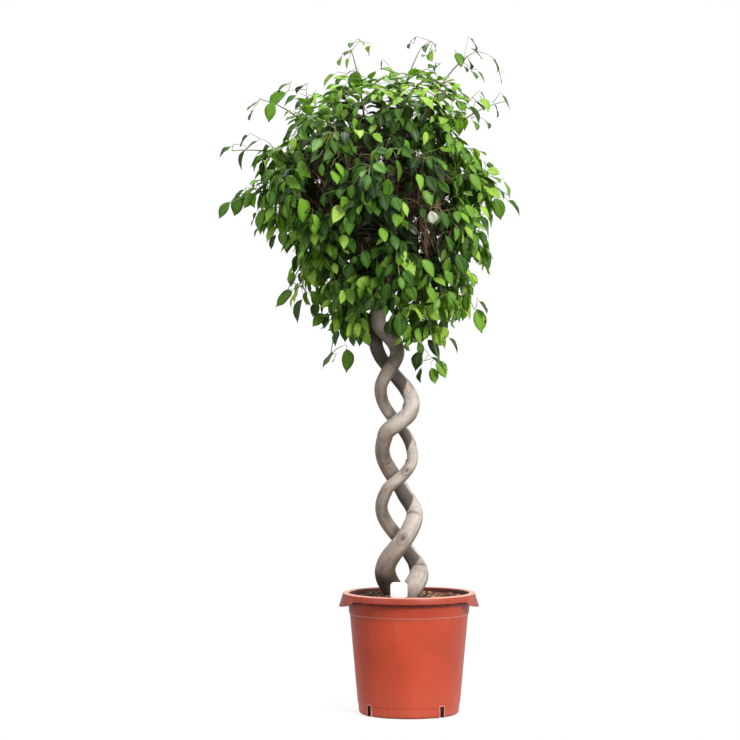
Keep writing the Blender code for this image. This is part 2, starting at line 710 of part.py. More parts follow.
def make_wood(parts, material, rng):
    """Both stems, each one body with its limbs and twigs. Returns the twigs' ends and headings."""
    obstacles = Obstacles()
    stems = {}
    for name, top in STEM_TOPS.items():
        heights = [STEM_BOTTOM, *steps(STEM_STRAIGHT_TOP, WOUND_TOP, STEM_STEP)]
        heights += steps(WOUND_TOP, top, CROWN_STEM_STEP)[1:]
        points = [stem_point(name, z) for z in heights]
        radii = [stem_radius(name, z) for z in heights]
        stems[name] = tube(name, points, radii, STEM_SIDES, parts)
        stems[name].data.materials.append(material)
        add_mesh(obstacles, stems[name], name)
    branches = {name: new_collection(name + "_branches") for name in STEM_TOPS}
    carriers = {}
    for name, top in STEM_TOPS.items():
        for k, (start, bend, end) in enumerate(limbs_of(name, rng)):
            path = clear_arc(start, bend, end, tapered(LIMB_RADII), name, obstacles, rng)
            tube(f"{name}_limb_{k}", path, tapered(LIMB_RADII), LIMB_SIDES, branches[name])
            carriers[name, k] = (path[-1], (path[-1] - path[-2]).normalized())
        carriers[name, "top"] = (stem_point(name, top), Vector((0, 0, 1)))
    tips = spray_tips()
    ends = []
    for number, (tip, key) in enumerate(zip(tips, share_out(tips, carriers))):
        end, heading = carriers[key]
        place, root = twig_end(tip), end - heading * TWIG_ROOT_DEPTH
        reach = (place - root).length * TWIG_BEND
        bend = (root + heading * reach).lerp(place - (tip - place).normalized() * reach, 0.5)
        radii = tapered(TWIG_RADII)
        path = clear_arc(root, bend, place, radii, key[0], obstacles, rng, tip)
        tube(f"twig_{number}", path, radii, TWIG_SIDES, branches[key[0]])
        ends.append((path[-1], (path[-1] - path[-2]).normalized()))
    for name, stem in stems.items():
        join_all(stem, branches[name], solver="MANIFOLD")
        shade_round(stem)
    return tips, ends


# Leafy sprays: a slender stem with pairs of drooping, folded, pointed leaves
def stem_sections(start, heading, tip, lift):
    """Rings of a spray's stem, with a short stretch for each pair of leaves, and its bud's end."""
    bend = start + heading * (tip - start).length * STEM_BEND + lift
    path = arc(start, bend, tip, 24)
    lengths = [0.0]
    for a, b in zip(path, path[1:]):
        lengths.append(lengths[-1] + (b - a).length)

    def at(distance):
        i = next((k for k in range(len(path) - 1) if lengths[k + 1] >= distance), len(path) - 2)
        share = (distance - lengths[i]) / (lengths[i + 1] - lengths[i])
        return path[i].lerp(path[i + 1], share), (path[i + 1] - path[i]).normalized()

    total = lengths[-1]
    first, last = total * BARE_SHARE, total - NODE_LENGTH * 1.5
    distances = [0.0]
    for k in range(LEAF_PAIRS):
        node = first + (last - first) * k / (LEAF_PAIRS - 1)
        distances += [node, node + NODE_LENGTH]
    rings, headings = [], []
    for k, distance in enumerate(distances):
        place, along = at(distance) if k else (start, heading)
        radius = SPRAY_STEM_RADIUS * (1 - STEM_TAPER * distance / total)
        rings.append(ring_at(place, along, radius, 3))
        headings.append(along)
    bud = at(total)[0] + headings[-1] * BUD_LENGTH
    return rings, headings, bud


def leaf_sections(root, heading, facing, length, width, spare=0.0):
    """Sections of a leaf at its shoulder and waist, as (right, top, left, bottom), and its tip."""
    side = facing.cross(heading).normalized()
    up = heading.cross(side).normalized()
    half_thick = LEAF_THICKNESS / 2 + spare

    def middle(t):
        return root + heading * length * t - (up + Vector((0, 0, LEAF_HANG))) * LEAF_SAG * length * t * t

    rings = []
    for t, share in (LEAF_SHOULDER, LEAF_WAIST):
        half = width / 2 * share + spare
        lift = up * (half * LEAF_FOLD)
        centre = middle(t)
        rings.append([
            centre + side * half + lift,
            centre + up * half_thick,
            centre - side * half + lift,
            centre - up * half_thick,
        ])
    return rings, middle(1.0) + heading * spare


def in_order(corners, ring):
    """For each corner of a stem's face, the place in a leaf's section that it grows into."""
    orders = [[(shift + way * j) % 4 for j in range(4)] for shift in range(4) for way in (1, -1)]
    return min(orders, key=lambda order: sum((corners[j] - ring[order[j]]).length for j in range(4)))


def split_ends(j, order):
    """Which of two neighbouring corners is on the midrib, and which on the margin."""
    i = (j + 1) % 4
    return (j, i) if order[j] % 2 else (i, j)


def leaf_surface(corners, rings, tip):
    """Vertices and triangles of a leaf from its root's corners to its tip, for clearance tests."""
    order = in_order(corners, rings[0])
    verts = list(corners) + [ring[order[j]] for ring in rings for j in range(4)] + [tip]
    faces = []
    for k in range(len(rings)):
        old, new = 4 * k, 4 * k + 4
        for j in range(4):
            i = (j + 1) % 4
            middle, margin = split_ends(j, order)
            faces.append((old + middle, new + margin, old + margin))
            faces.append((old + middle, new + margin, new + middle))
    faces += [(len(verts) - 5 + j, len(verts) - 5 + (j + 1) % 4, len(verts) - 1) for j in range(4)]
    return verts, faces


def grow_leaf(bm, face, rings, tip):
    """Draws a leaf out of a face of the stem, split alike on its upper and lower side."""
    order = in_order([v.co.copy() for v in face.verts], rings[0])
    for ring in rings:
        old = list(face.verts)
        face = bmesh.ops.extrude_discrete_faces(bm, faces=[face])["faces"][0]
        new = list(face.verts)
        for j, v in enumerate(new):
            v.co = ring[order[j]]
        for j in range(4):
            wall = next(f for f in bm.edges.get((new[j], new[(j + 1) % 4])).link_faces if f is not face)
            middle, margin = split_ends(j, order)
            bmesh.utils.face_split(wall, old[middle], new[margin])
    bmesh.ops.poke(bm, faces=[face])["verts"][0].co = tip


def spray_mesh(name, rings, bud, leaves):
    """One closed body: the stem drawn out ring by ring, then its leaves drawn out of its sides."""
    bm = bmesh.new()
    bmesh.ops.create_cone(bm, cap_ends=True, segments=3, radius1=1, radius2=1, depth=2)
    bm.faces.ensure_lookup_table()
    face = next(f for f in bm.faces if all(v.co.z > 0 for v in f.verts))
    lower = [next(e.other_vert(v) for e in v.link_edges if e.other_vert(v).co.z < 0) for v in face.verts]
    for top, bottom, high, low in zip(face.verts, lower, rings[1], rings[0]):
        top.co, bottom.co = high, low
    nodes = {}
    for k in range(2, len(rings)):
        face = bmesh.ops.extrude_discrete_faces(bm, faces=[face])["faces"][0]
        for v, corner in zip(face.verts, rings[k]):
            v.co = corner
        if k % 2 == 0:
            verts = list(face.verts)
            for i in range(3):
                edge = bm.edges.get((verts[i], verts[(i + 1) % 3]))
                nodes[k, i] = next(f for f in edge.link_faces if f is not face)
    bmesh.ops.poke(bm, faces=[face])["verts"][0].co = bud
    for (ring, side), sections, tip in leaves:
        grow_leaf(bm, nodes[ring, side], sections, tip)
    bmesh.ops.triangulate(bm, faces=[f for f in bm.faces if len(f.verts) > 3])
    return mesh_of(bm, name)


def plan_leaf(stem, ring, side, number, obstacles, own_stem, rng):
    """Sections of one leaf that clears everything already there, or None."""
    rings, headings, _ = stem
    next_side = (side + 1) % 3
    corners = [rings[ring - 1][side], rings[ring - 1][next_side], rings[ring][next_side], rings[ring][side]]
    root = sum(corners, Vector()) / 4
    along = headings[ring]
    outward = (root - CROWN_MIDDLE).normalized()
    middle = (sum(rings[ring], Vector()) + sum(rings[ring - 1], Vector())) / 6
    normal = (root - middle).normalized()
    stub = [corner + normal * LEAF_ROOT_GAP for corner in corners]
    up = Vector((0, 0, 1))
    for attempt in range(LEAF_TRIES):
        heading = normal * LEAF_OUT + along * rng.uniform(*LEAF_LEANS)
        heading += outward * rng.uniform(0.0, LEAF_SPREAD) - up * rng.uniform(*LEAF_DROOPS)
        heading.normalize()
        rolls = [rng.uniform(-LEAF_ROLL, LEAF_ROLL) for _ in range(2)]
        facing = outward + Vector((*rolls, LEAF_ROLL))
        scale = rng.uniform(*LEAF_SCALES) * (1 - SHRINK_PER_TRY * attempt)
        if min(heading.dot(normal), facing.cross(heading).length) < LEAST_LEAF_TURN:
            continue
        size = (LEAF_LENGTH * scale, LEAF_WIDTH * scale)
        wide, end = leaf_sections(root, heading, facing, *size, spare=LEAF_CLEARANCE)
        whole = leaf_surface(stub, wide, end)
        if obstacles.meets(*whole, apart_from=number) or own_stem.meets(*whole):
            continue
        sections, tip = leaf_sections(root, heading, facing, *size)
        obstacles.add(*leaf_surface(stub, sections, tip))
        return sections, tip
    return None


def make_sprays(parts, material, tips, ends, rng):
    """Every leafy spray: first all stems, then their leaves, each clear of what is already there."""
    obstacles = Obstacles()
    for name in STEM_TOPS:
        add_mesh(obstacles, bpy.data.objects[name])
    stems = []
    for number, (tip, (place, heading)) in enumerate(zip(tips, ends)):
        start = place + heading * SEAT_GAP
        for attempt in range(STEM_TRIES):
            aside, bow = (
                Vector([rng.uniform(-1, 1) for _ in range(3)]) * step * attempt
                for step in (TIP_STEP, BOW_STEP)
            )
            lift = Vector((0, 0, SPRAY_ARCH * rng.uniform(0.5, 1.4)))
            stem = stem_sections(start, heading, tip + aside, lift + bow)
            clear = ring_surface([widened(ring) for ring in stem[0]], stem[2])
            if not obstacles.meets(*clear):
                break
        else:
            raise RuntimeError(f"no clear way for spray {number + 1}")
        obstacles.add(*clear, owner=number)
        stems.append(stem)
    for number, stem in enumerate(stems):
        rings, _, bud = stem
        own_stem = Obstacles()
        own_stem.add(*ring_surface(rings, bud))
        leaves = []
        for ring in range(2, 2 * LEAF_PAIRS + 2, 2):
            for side in (0, 2):
                planned = plan_leaf(stem, ring, side, number, obstacles, own_stem, rng)
                if planned:
                    leaves.append(((ring, side), *planned))
        name = f"leafy_spray_{number + 1:02d}"
        new_object(name, spray_mesh(name, rings, bud, leaves), parts, material)


def main():
    clear_scene()
    parts = new_collection("weeping_fig")
    materials = {name: new_material(name) for name in COLOURS}
    rng = random.Random(SEED)
    make_pot(parts, materials["terracotta_plastic"])
    holes = [
        (stem_point(name, STEM_BOTTOM), stem_radius(name, STEM_BOTTOM))
        for name in STEM_TOPS
    ]
    make_soil(parts, materials["potting_soil"], holes)
    make_label(parts, materials["label_plastic"])
    tips, ends = make_wood(parts, materials["bark"], rng)
    make_sprays(parts, materials["leaf"], tips, ends, rng)


main()
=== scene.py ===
"""Finish of a potted weeping fig, laid out as an add-on and run as a script.

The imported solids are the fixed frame. The pieces made here take their places: a moulded pot,
a bark potting mix, a blank label, two wound stems with their bark, and sprays of hanging leaves.
Sizes are in metres and angles in degrees unless a name says otherwise. The front is -Y.
"""

import math
import random

import bmesh
import bpy
import numpy as np
from bpy.props import FloatProperty, FloatVectorProperty, IntProperty, PointerProperty
from mathutils import Matrix, Vector, noise


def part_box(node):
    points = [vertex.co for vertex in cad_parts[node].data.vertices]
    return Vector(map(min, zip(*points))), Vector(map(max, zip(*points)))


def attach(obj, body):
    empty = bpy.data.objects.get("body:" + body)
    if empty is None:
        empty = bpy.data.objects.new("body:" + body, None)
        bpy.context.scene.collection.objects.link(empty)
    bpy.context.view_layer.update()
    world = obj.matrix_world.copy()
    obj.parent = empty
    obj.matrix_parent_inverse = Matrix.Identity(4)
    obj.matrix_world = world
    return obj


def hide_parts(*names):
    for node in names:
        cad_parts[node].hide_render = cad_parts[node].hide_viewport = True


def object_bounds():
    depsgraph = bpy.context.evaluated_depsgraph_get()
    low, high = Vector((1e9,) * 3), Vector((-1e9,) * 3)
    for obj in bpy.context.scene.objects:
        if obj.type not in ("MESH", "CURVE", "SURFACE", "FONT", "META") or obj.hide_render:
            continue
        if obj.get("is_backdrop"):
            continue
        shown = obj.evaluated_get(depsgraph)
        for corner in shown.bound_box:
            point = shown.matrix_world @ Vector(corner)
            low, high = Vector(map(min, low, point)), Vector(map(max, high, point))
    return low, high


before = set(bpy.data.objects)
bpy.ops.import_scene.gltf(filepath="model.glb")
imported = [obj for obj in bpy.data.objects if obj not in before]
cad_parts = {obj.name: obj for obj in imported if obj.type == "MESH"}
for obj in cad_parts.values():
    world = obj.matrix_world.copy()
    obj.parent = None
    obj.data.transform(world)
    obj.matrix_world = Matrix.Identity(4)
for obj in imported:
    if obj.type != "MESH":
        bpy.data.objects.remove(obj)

bl_info = {
    "name": "Potted weeping fig",
    "version": (1, 0, 0),
    "blender": (4, 5, 0),
    "location": "3D View > Sidebar > Fig",
    "description": "Builds the finish of a potted weeping fig with wound stems",
    "category": "Add Mesh",
}

UP = Vector((0, 0, 1))
FRONT = Vector((0, -1, 0))
CAD_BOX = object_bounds()

# Pot, as its solid has it
POT_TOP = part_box("pot")[1].z
GRIP_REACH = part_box("pot")[1].x
POT_WALL = 0.003
POT_STEPS = 240
FLOOR_TOP = 0.007
FOOT_RADIUS = 0.1202
FOOT_CORNER = 0.0045
BASE_RADIUS = 0.1254
FOOT_BAND_TOP = 0.027
FOOT_BAND_DEPTH = 0.0012
STEP_HEIGHT = 0.2485
STEP_RADIUS = 0.1480
STEP_DEPTH = 0.0018
RIM_INNER_RADIUS = 0.1515
RIM_OUTER_RADIUS = 0.1655
RIM_THICKNESS = 0.0035
RIM_BEAD = 0.0007
COLLAR_BOTTOM = 0.2860
COLLAR_FLARE = 0.0022
COLLAR_WALL = 0.0022
FOOT_RING_WIDTH = 0.014
UNDERSIDE_RECESS = 0.003
CENTRE_DISC_RADIUS = 0.042
GRIP_BOTTOM = 0.2680
GRIP_HALF_ANGLE = 33
GRIP_BLEND_ANGLE = 2.2
GRIP_LOBE = 0.55
SLOT_ANGLES = (39, 129, 219, 309)
SLOT_WIDTH = 0.0120
SLOT_TOP = 0.028
SLOT_LIP = 0.0028
SLOT_LIP_RISE = 0.0014
ARCH_STEPS = 14
WEBS = 24
WEB_WIDTH = 0.0016
WEB_DROP = 0.0065
LIP_BOTTOM = 0.0012
LIP_DEPTH = 0.0050
SLOT_BOTTOM = -0.010
POT_SHARP_ANGLE = 38

# Soil and label
SOIL_TOP = 0.2900
SOIL_LUMP = 0.0035
SOIL_STEPS = 96
SOIL_RINGS = 34
SOIL_GAP = 0.0004
SOIL_EDGE_WIDTH = 0.010
CHIPS_REACH = 0.1465
CHIP_SIZES = (0.7, 1.0, 1.0, 1.7)
CHIP_TILT = 0.38
LABEL_PLACE = (-0.026, -0.092)
LABEL_WIDTH = 0.042
LABEL_TOP = 0.3355
LABEL_SHOULDER = 0.2950
LABEL_POINT = 0.2100
LABEL_STAKE_WIDTH = 0.012
LABEL_THICKNESS = 0.0010
LABEL_CORNER = 0.009
LABEL_CORNER_STEPS = 8
LABEL_SHARP_ANGLE = 40

# Stems: the axis they wind round, the distance from it, the thicker stem's angle and both radii, by height
AXIS_PLACES = ((0.20, -0.020), (0.43, -0.020), (0.58, -0.032), (0.73, -0.034), (0.80, -0.035),
               (0.87, -0.046), (0.93, -0.060), (1.05, -0.072), (1.50, -0.086))
WIND_RADII = ((0.20, 0.041), (0.35, 0.042), (0.51, 0.040), (0.66, 0.037), (0.80, 0.038),
              (0.87, 0.033), (0.93, 0.0255), (0.96, 0.024), (0.99, 0.0225), (1.06, 0.024), (1.50, 0.045))
WIND_ANGLES = ((0.27, -190), (0.3535, -95), (0.431, 0), (0.5085, 90), (0.5835, 180), (0.6585, 270),
               (0.731, 360), (0.8035, 450), (0.866, 540), (0.910, 606), (0.928, 610), (0.942, 600),
               (0.957, 582), (0.973, 567), (1.00, 558), (1.05, 500), (1.15, 455), (1.50, 430))
THICK_RADII = ((0.20, 0.0240), (0.29, 0.0265), (0.345, 0.0264), (0.37, 0.0250), (0.51, 0.0205),
               (0.66, 0.0188), (0.73, 0.0208), (0.79, 0.0195), (0.84, 0.0175), (0.935, 0.0165),
               (1.05, 0.0165), (1.25, 0.0115), (1.50, 0.0045))
THIN_RADII = ((0.20, 0.0205), (0.29, 0.0250), (0.325, 0.0258), (0.365, 0.0222), (0.390, 0.0192),
              (0.51, 0.0162), (0.66, 0.0138), (0.80, 0.0156), (0.93, 0.0190), (1.05, 0.0160),
              (1.25, 0.0110), (1.50, 0.0045))
THICK_SWAY = ((0.28, 0.002), (0.34, 0.001), (0.42, 0.003), (0.46, 0.0), (0.505, -0.001), (0.525, -0.006),
              (0.545, -0.0085), (0.585, -0.001), (0.625, 0.0035), (0.685, 0.0025), (0.705, -0.001),
              (0.725, 0.008), (0.745, 0.0180), (0.765, 0.0140), (0.785, 0.0055), (0.81, -0.0070),
              (0.84, -0.0125), (0.885, -0.002), (0.905, 0.002), (0.94, 0.0), (0.957, -0.0035),
              (0.972, -0.0080), (1.00, -0.0060), (1.03, 0.0))
THIN_SWAY = ((0.28, 0.001), (0.325, 0.0), (0.350, 0.002), (0.39, -0.0055), (0.415, -0.005), (0.44, -0.001),
             (0.48, -0.001), (0.55, -0.005), (0.566, -0.007), (0.585, 0.001), (0.605, 0.008),
             (0.628, 0.0095), (0.66, 0.0030), (0.70, 0.0), (0.76, 0.0), (0.80, 0.003), (0.84, 0.001),
             (0.88, 0.0), (0.922, -0.001), (0.938, -0.0065), (0.952, -0.0145), (0.972, -0.0200),
             (1.00, -0.0150), (1.03, 0.0))
STEM_BOTTOM = 0.200
STEM_STRAIGHT_TOP = 0.302
STEM_TOPS = {"stem_thick": 1.39, "stem_thin": 1.36}
STEM_SIDES = 44
STEM_STEP = 0.003
WOUND_TOP = 1.010
UNDER_WAY = (0.80, 0.0, -0.60)

# Creases of the bark, as (stem, height, angle from the front towards -X, reach round, reach along, depth)
CREASES = (
    ("stem_thick", 0.4920, 20, 50, 0.0030, 0.0018), ("stem_thin", 0.3600, 10, 70, 0.0032, 0.0022),
    ("stem_thick", 0.3350, -60, 60, 0.0028, 0.0012), ("stem_thin", 0.7000, -80, 50, 0.0024, 0.0010),
    ("stem_thick", 0.6300, -40, 45, 0.0022, 0.0008), ("stem_thin", 0.8700, 10, 60, 0.0026, 0.0012),
    ("stem_thick", 0.5700, 160, 60, 0.0026, 0.0012), ("stem_thin", 0.4700, 190, 60, 0.0026, 0.0012),
)
# Knots on the bark, as (stem, height, angle, size, depth)
KNOTS = (
    ("stem_thick", 0.4360, 12, 0.0095, 0.0024), ("stem_thick", 0.7620, 62, 0.0080, 0.0026),
    ("stem_thin", 0.6240, 58, 0.0070, 0.0022), ("stem_thin", 0.6060, 3, 0.0078, 0.0022),
    ("stem_thick", 0.5450, 170, 0.0075, 0.0020), ("stem_thin", 0.7900, 150, 0.0060, 0.0018),
    ("stem_thick", 0.3900, 150, 0.0080, 0.0020),
)
# Swells and flutes of the bark, as (waves round, waves along, share)
BARK_WAVES = ((0, 14, 0.8), (38, 17, 1.0), (110, 9, 0.55), (260, 60, 0.16))

# Crown: the sprays' ends as the solids have them, and the outline that the leaves fill
CROWN_MIDDLE = Vector((-0.080, 0.0, 1.270))
CROWN_HALF_WIDTH = 0.290
CROWN_HALF_DEPTH = 0.285
CROWN_RISE = 0.330
CROWN_DROP = 0.320
BODY_SPRAYS = 29
HIGHEST_SINE = 0.96
LOWEST_SINE = -0.88
GOLDEN_ANGLE = 137.508
OUTER_SPRAY_TIPS = (
    (-0.445, -0.03, 1.275), (-0.375, 0.06, 1.540), (-0.145, -0.05, 1.655), (0.030, 0.04, 1.665),
    (0.165, -0.04, 1.650), (0.245, 0.06, 1.535), (0.250, -0.05, 1.290), (0.165, 0.04, 1.010),
    (0.075, -0.08, 0.875), (-0.195, -0.03, 0.900), (-0.305, 0.06, 1.060), (-0.445, 0.06, 1.410),
    (-0.100, -0.335, 1.330), (-0.070, 0.345, 1.300), (0.010, -0.270, 1.540), (-0.200, 0.270, 1.560),
)
LIMB_SHARE = 0.50
LIMB_LIFT = 0.030
LIMBS_PER_STEM = 6
LIMB_LOWEST = 1.030
LIMB_SPACING = 0.060
LIMB_REACH = 0.085
LIMB_RISE = 0.050
LIMB_SPREAD = 82
LIMB_BEND = (0.45, 0.25)
GOLDEN_SHARE = 0.618
LIMB_RADII = (0.0085, 0.0060)
LIMB_STEPS = 10
LIMB_SIDES = 12
LIMB_UNEVENNESS = 0.0012
LIMB_SHADE = 0.85
TWIG_RADII = (0.0046, 0.0030)
TWIG_STEPS = 9
TWIG_SIDES = 8
TWIG_UNEVENNESS = 0.0010
TWIG_SHADE = 0.90
TWIG_ROOT_DEPTH = 0.010
TWIG_BEND = 0.45
TWIG_APPROACH = 0.080
SPRAY_ARCH = 0.055
# The crown as seen from the front: height, left, right
OUTLINE = (
    (0.940, -0.140, 0.060), (0.970, -0.180, 0.097), (1.020, -0.244, 0.128), (1.080, -0.252, 0.150),
    (1.130, -0.252, 0.168), (1.180, -0.296, 0.190), (1.240, -0.354, 0.200), (1.300, -0.386, 0.194),
    (1.360, -0.364, 0.200), (1.400, -0.350, 0.146), (1.440, -0.318, 0.105), (1.485, -0.280, 0.112),
    (1.530, -0.262, 0.145), (1.565, -0.165, 0.115), (1.585, -0.110, 0.042), (1.599, -0.060, 0.000),
)
CROWN_FOOT = OUTLINE[0][0]
CROWN_TOP = OUTLINE[-1][0]
DEPTH_SHARE = 1.04
# Single leaves round the crown's edge: x and z of base and tip in mm, then openness and tint in tenths
LOOSE_LEAVES = (
    (-308, 1550, -354, 1525, 8, 6), (-339, 1527, -355, 1481, 9, 7), (-281, 1544, -316, 1524, 4, 4),
    (-379, 1528, -405, 1507, 4, 3), (-391, 1503, -398, 1483, 3, 3), (-258, 1535, -289, 1515, 4, 1),
    (-257, 1540, -260, 1510, 7, 7), (-300, 1575, -331, 1558, 3, 4), (-259, 1571, -288, 1563, 2, 2),
    (-403, 1443, -430, 1423, 4, 2), (-444, 1417, -479, 1397, 3, 2), (-379, 1430, -414, 1412, 2, 3),
    (-410, 1408, -432, 1361, 3, 2), (-186, 1596, -220, 1572, 5, 7), (-161, 1591, -191, 1566, 3, 3),
    (-128, 1605, -142, 1550, 9, 5), (-135, 1677, -150, 1665, 4, 4), (-120, 1679, -112, 1672, 3, 8),
    (-97, 1666, -109, 1645, 8, 9), (-146, 1654, -162, 1645, 3, 4), (-168, 1642, -177, 1619, 4, 6),
    (-150, 1634, -162, 1615, 7, 9), (-67, 1628, -71, 1613, 5, 4), (5, 1677, -3, 1664, 3, 2),
    (16, 1685, 11, 1678, 4, 2), (52, 1674, 37, 1654, 4, 3), (63, 1670, 74, 1658, 8, 3),
    (55, 1656, 54, 1629, 7, 9), (45, 1642, 32, 1642, 2, 5), (63, 1617, 47, 1613, 7, 4),
    (75, 1620, 62, 1612, 4, 4), (65, 1617, 62, 1594, 4, 5), (56, 1600, 45, 1589, 3, 2),
    (37, 1606, 22, 1594, 3, 3), (117, 1650, 135, 1617, 8, 5), (136, 1617, 148, 1607, 4, 3),
    (153, 1685, 180, 1666, 4, 4), (160, 1658, 187, 1644, 5, 3), (148, 1636, 165, 1618, 3, 2),
    (157, 1605, 171, 1589, 3, 4), (173, 1602, 198, 1579, 4, 5), (210, 1634, 232, 1611, 2, 5),
    (224, 1604, 235, 1580, 4, 7), (233, 1544, 256, 1514, 4, 4), (214, 1520, 231, 1494, 3, 6),
    (179, 1550, 199, 1535, 5, 6), (181, 1536, 198, 1506, 8, 9), (170, 1525, 188, 1508, 3, 4),
    (150, 1517, 183, 1480, 3, 3), (158, 1482, 171, 1461, 4, 6), (191, 1479, 203, 1465, 3, 3),
    (130, 1550, 153, 1531, 5, 4), (119, 1531, 142, 1506, 8, 6), (125, 1488, 122, 1445, 9, 8),
    (193, 1374, 227, 1351, 4, 3), (207, 1341, 229, 1330, 2, 6), (238, 1329, 259, 1290, 4, 7),
    (218, 1316, 245, 1292, 2, 3), (247, 1281, 286, 1254, 4, 3), (214, 1288, 237, 1232, 9, 5),
    (169, 1245, 207, 1200, 5, 4), (173, 1200, 203, 1177, 6, 4), (182, 1162, 208, 1107, 7, 4),
    (153, 1151, 172, 1130, 4, 2), (162, 1371, 189, 1355, 6, 7), (152, 1344, 186, 1312, 9, 6),
    (160, 1312, 188, 1277, 7, 6), (-412, 1308, -444, 1281, 4, 4), (-447, 1278, -479, 1241, 6, 5),
    (-394, 1305, -426, 1275, 6, 5), (-415, 1292, -446, 1247, 8, 6), (-357, 1320, -392, 1301, 4, 1),
    (-350, 1303, -384, 1266, 5, 5), (-381, 1251, -398, 1221, 4, 1), (-363, 1260, -382, 1211, 7, 7),
    (-333, 1197, -351, 1163, 4, 2), (-313, 1210, -318, 1170, 8, 8), (-352, 1390, -382, 1384, 4, 2),
    (-358, 1382, -372, 1334, 6, 2), (-350, 1417, -369, 1398, 6, 3), (-386, 1327, -391, 1320, 5, 3),
    (-291, 1184, -311, 1156, 5, 1), (-274, 1154, -289, 1135, 4, 2), (-261, 1110, -278, 1081, 4, 1),
    (-282, 1090, -296, 1074, 3, 1), (-292, 1056, -335, 1024, 8, 6), (-275, 1064, -300, 1047, 5, 8),
    (-267, 1035, -286, 982, 4, 3), (-238, 1026, -241, 998, 5, 2), (-212, 1057, -219, 1017, 8, 7),
    (-202, 1001, -218, 962, 8, 1), (-178, 1004, -184, 972, 6, 4), (-176, 957, -193, 922, 5, 4),
    (-156, 986, -165, 933, 8, 5), (-138, 957, -142, 922, 8, 4), (-129, 954, -119, 924, 6, 4),
    (-156, 911, -152, 855, 8, 6), (-188, 902, -220, 866, 4, 5), (-184, 893, -193, 880, 3, 7),
    (-119, 989, -97, 952, 8, 9), (-161, 1028, -162, 989, 8, 1), (29, 905, 7, 857, 8, 1),
    (30, 864, 22, 832, 4, 2), (56, 864, 69, 823, 9, 7), (69, 882, 97, 841, 9, 8),
    (56, 890, 98, 860, 3, 2), (47, 934, 78, 893, 7, 1), (170, 1011, 183, 956, 9, 8),
    (114, 1022, 130, 979, 5, 5), (145, 1046, 141, 1007, 8, 5), (175, 1031, 200, 1002, 3, 3),
    (72, 952, 92, 916, 6, 7), (100, 938, 131, 904, 3, 3), (82, 992, 97, 946, 6, 2),
    (-7, 970, -2, 932, 8, 8), (-4, 932, -7, 910, 4, 9), (23, 929, 35, 887, 6, 5),
    (75, 1052, 74, 1012, 8, 8), (34, 988, 44, 942, 7, 2), (-32, 1018, -25, 978, 8, 2),
    (-51, 1044, -58, 1002, 7, 3), (-20, 1004, -15, 961, 7, 5),
)
# Leaves seen singly on the crown's front, written in the same way
FRONT_LEAVES = (
    (-42, 998, -32, 941, 8, 2), (-25, 1003, -18, 938, 8, 3), (-12, 978, -2, 932, 8, 6),
    (-88, 1041, -112, 1008, 9, 1), (-58, 1036, -92, 1006, 9, 1), (-72, 1031, -52, 996, 3, 4),
    (-38, 1040, -48, 1001, 6, 1), (-44, 985, -56, 947, 8, 2), (-272, 1381, -262, 1331, 9, 6),
    (-210, 1434, -188, 1401, 8, 6), (-138, 1488, -130, 1444, 7, 7), (-78, 1411, -92, 1371, 9, 8),
    (-52, 1336, -58, 1286, 9, 5), (20, 1348, 35, 1311, 7, 8), (-112, 1308, -100, 1264, 9, 6),
    (-170, 1291, -150, 1256, 8, 8), (-270, 1288, -255, 1228, 7, 7), (-240, 1248, -228, 1198, 8, 8),
    (-18, 1431, 5, 1404, 8, 7), (-160, 1241, -142, 1194, 8, 5), (-20, 1261, -5, 1226, 6, 7),
    (-198, 1171, -180, 1134, 8, 8), (-240, 1171, -230, 1134, 8, 7), (35, 1306, 62, 1274, 8, 6),
    (-120, 1078, -115, 1034, 8, 6), (-245, 1056, -222, 1018, 8, 6), (-115, 1158, -102, 1114, 9, 4),
    (-30, 1158, -18, 1116, 7, 6), (32, 1134, 65, 1096, 8, 7), (45, 1068, 70, 1026, 8, 7),
    (-2, 1128, 8, 1084, 8, 7), (88, 1108, 115, 1071, 8, 6), (118, 1148, 145, 1098, 9, 3),
    (-70, 1214, -58, 1184, 9, 8), (55, 1256, 62, 1224, 10, 13), (-298, 1296, -308, 1254, 5, 6),
    (-330, 1248, -315, 1204, 6, 7), (-182, 1376, -158, 1348, 6, 7), (-192, 1356, -178, 1324, 8, 7),
    (148, 1368, 178, 1344, 5, 7), (152, 1348, 182, 1308, 8, 6), (140, 1271, 170, 1241, 7, 7),
    (-125, 1388, -142, 1354, 6, 5), (-32, 1384, -18, 1328, 4, 5), (-218, 1521, -198, 1478, 8, 7),
    (-170, 1526, -182, 1488, 7, 6), (-62, 1478, -92, 1458, 6, 4), (-28, 1488, -2, 1464, 6, 5),
    (-245, 1128, -265, 1088, 6, 6), (-80, 1128, -70, 1081, 6, 3), (-142, 1128, -158, 1084, 7, 2),
    (-52, 1076, -65, 1028, 9, 3), (-185, 1084, -170, 1041, 8, 2), (80, 1254, 100, 1214, 7, 3),
    (92, 1194, 115, 1158, 7, 4), (-42, 1196, -28, 1161, 8, 3),
)
# Single leaves: how far in front of or behind the stems' plane, their usual length and their stalks
LOOSE_DEPTH = 0.060
LOOSE_LENGTH = 0.044
LOOSE_STRETCH = 1.07
LOOSE_STALK = 0.009
# Patches, as (x, z, reach), where the crown's front has few shoots and leaves and the inside shows
THIN_PATCHES = (
    (-0.140, 1.400, 0.052), (-0.020, 1.358, 0.040), (-0.225, 1.315, 0.050), (0.055, 1.315, 0.044),
    (0.055, 1.190, 0.060), (-0.100, 1.195, 0.042), (0.003, 1.295, 0.036),
)
THIN_PATCH_FRONT = -0.10
THIN_PATCH_KEPT = 0.10
THIN_LEAF_FRONT = -0.04
THIN_LEAF_MISSING = 0.70
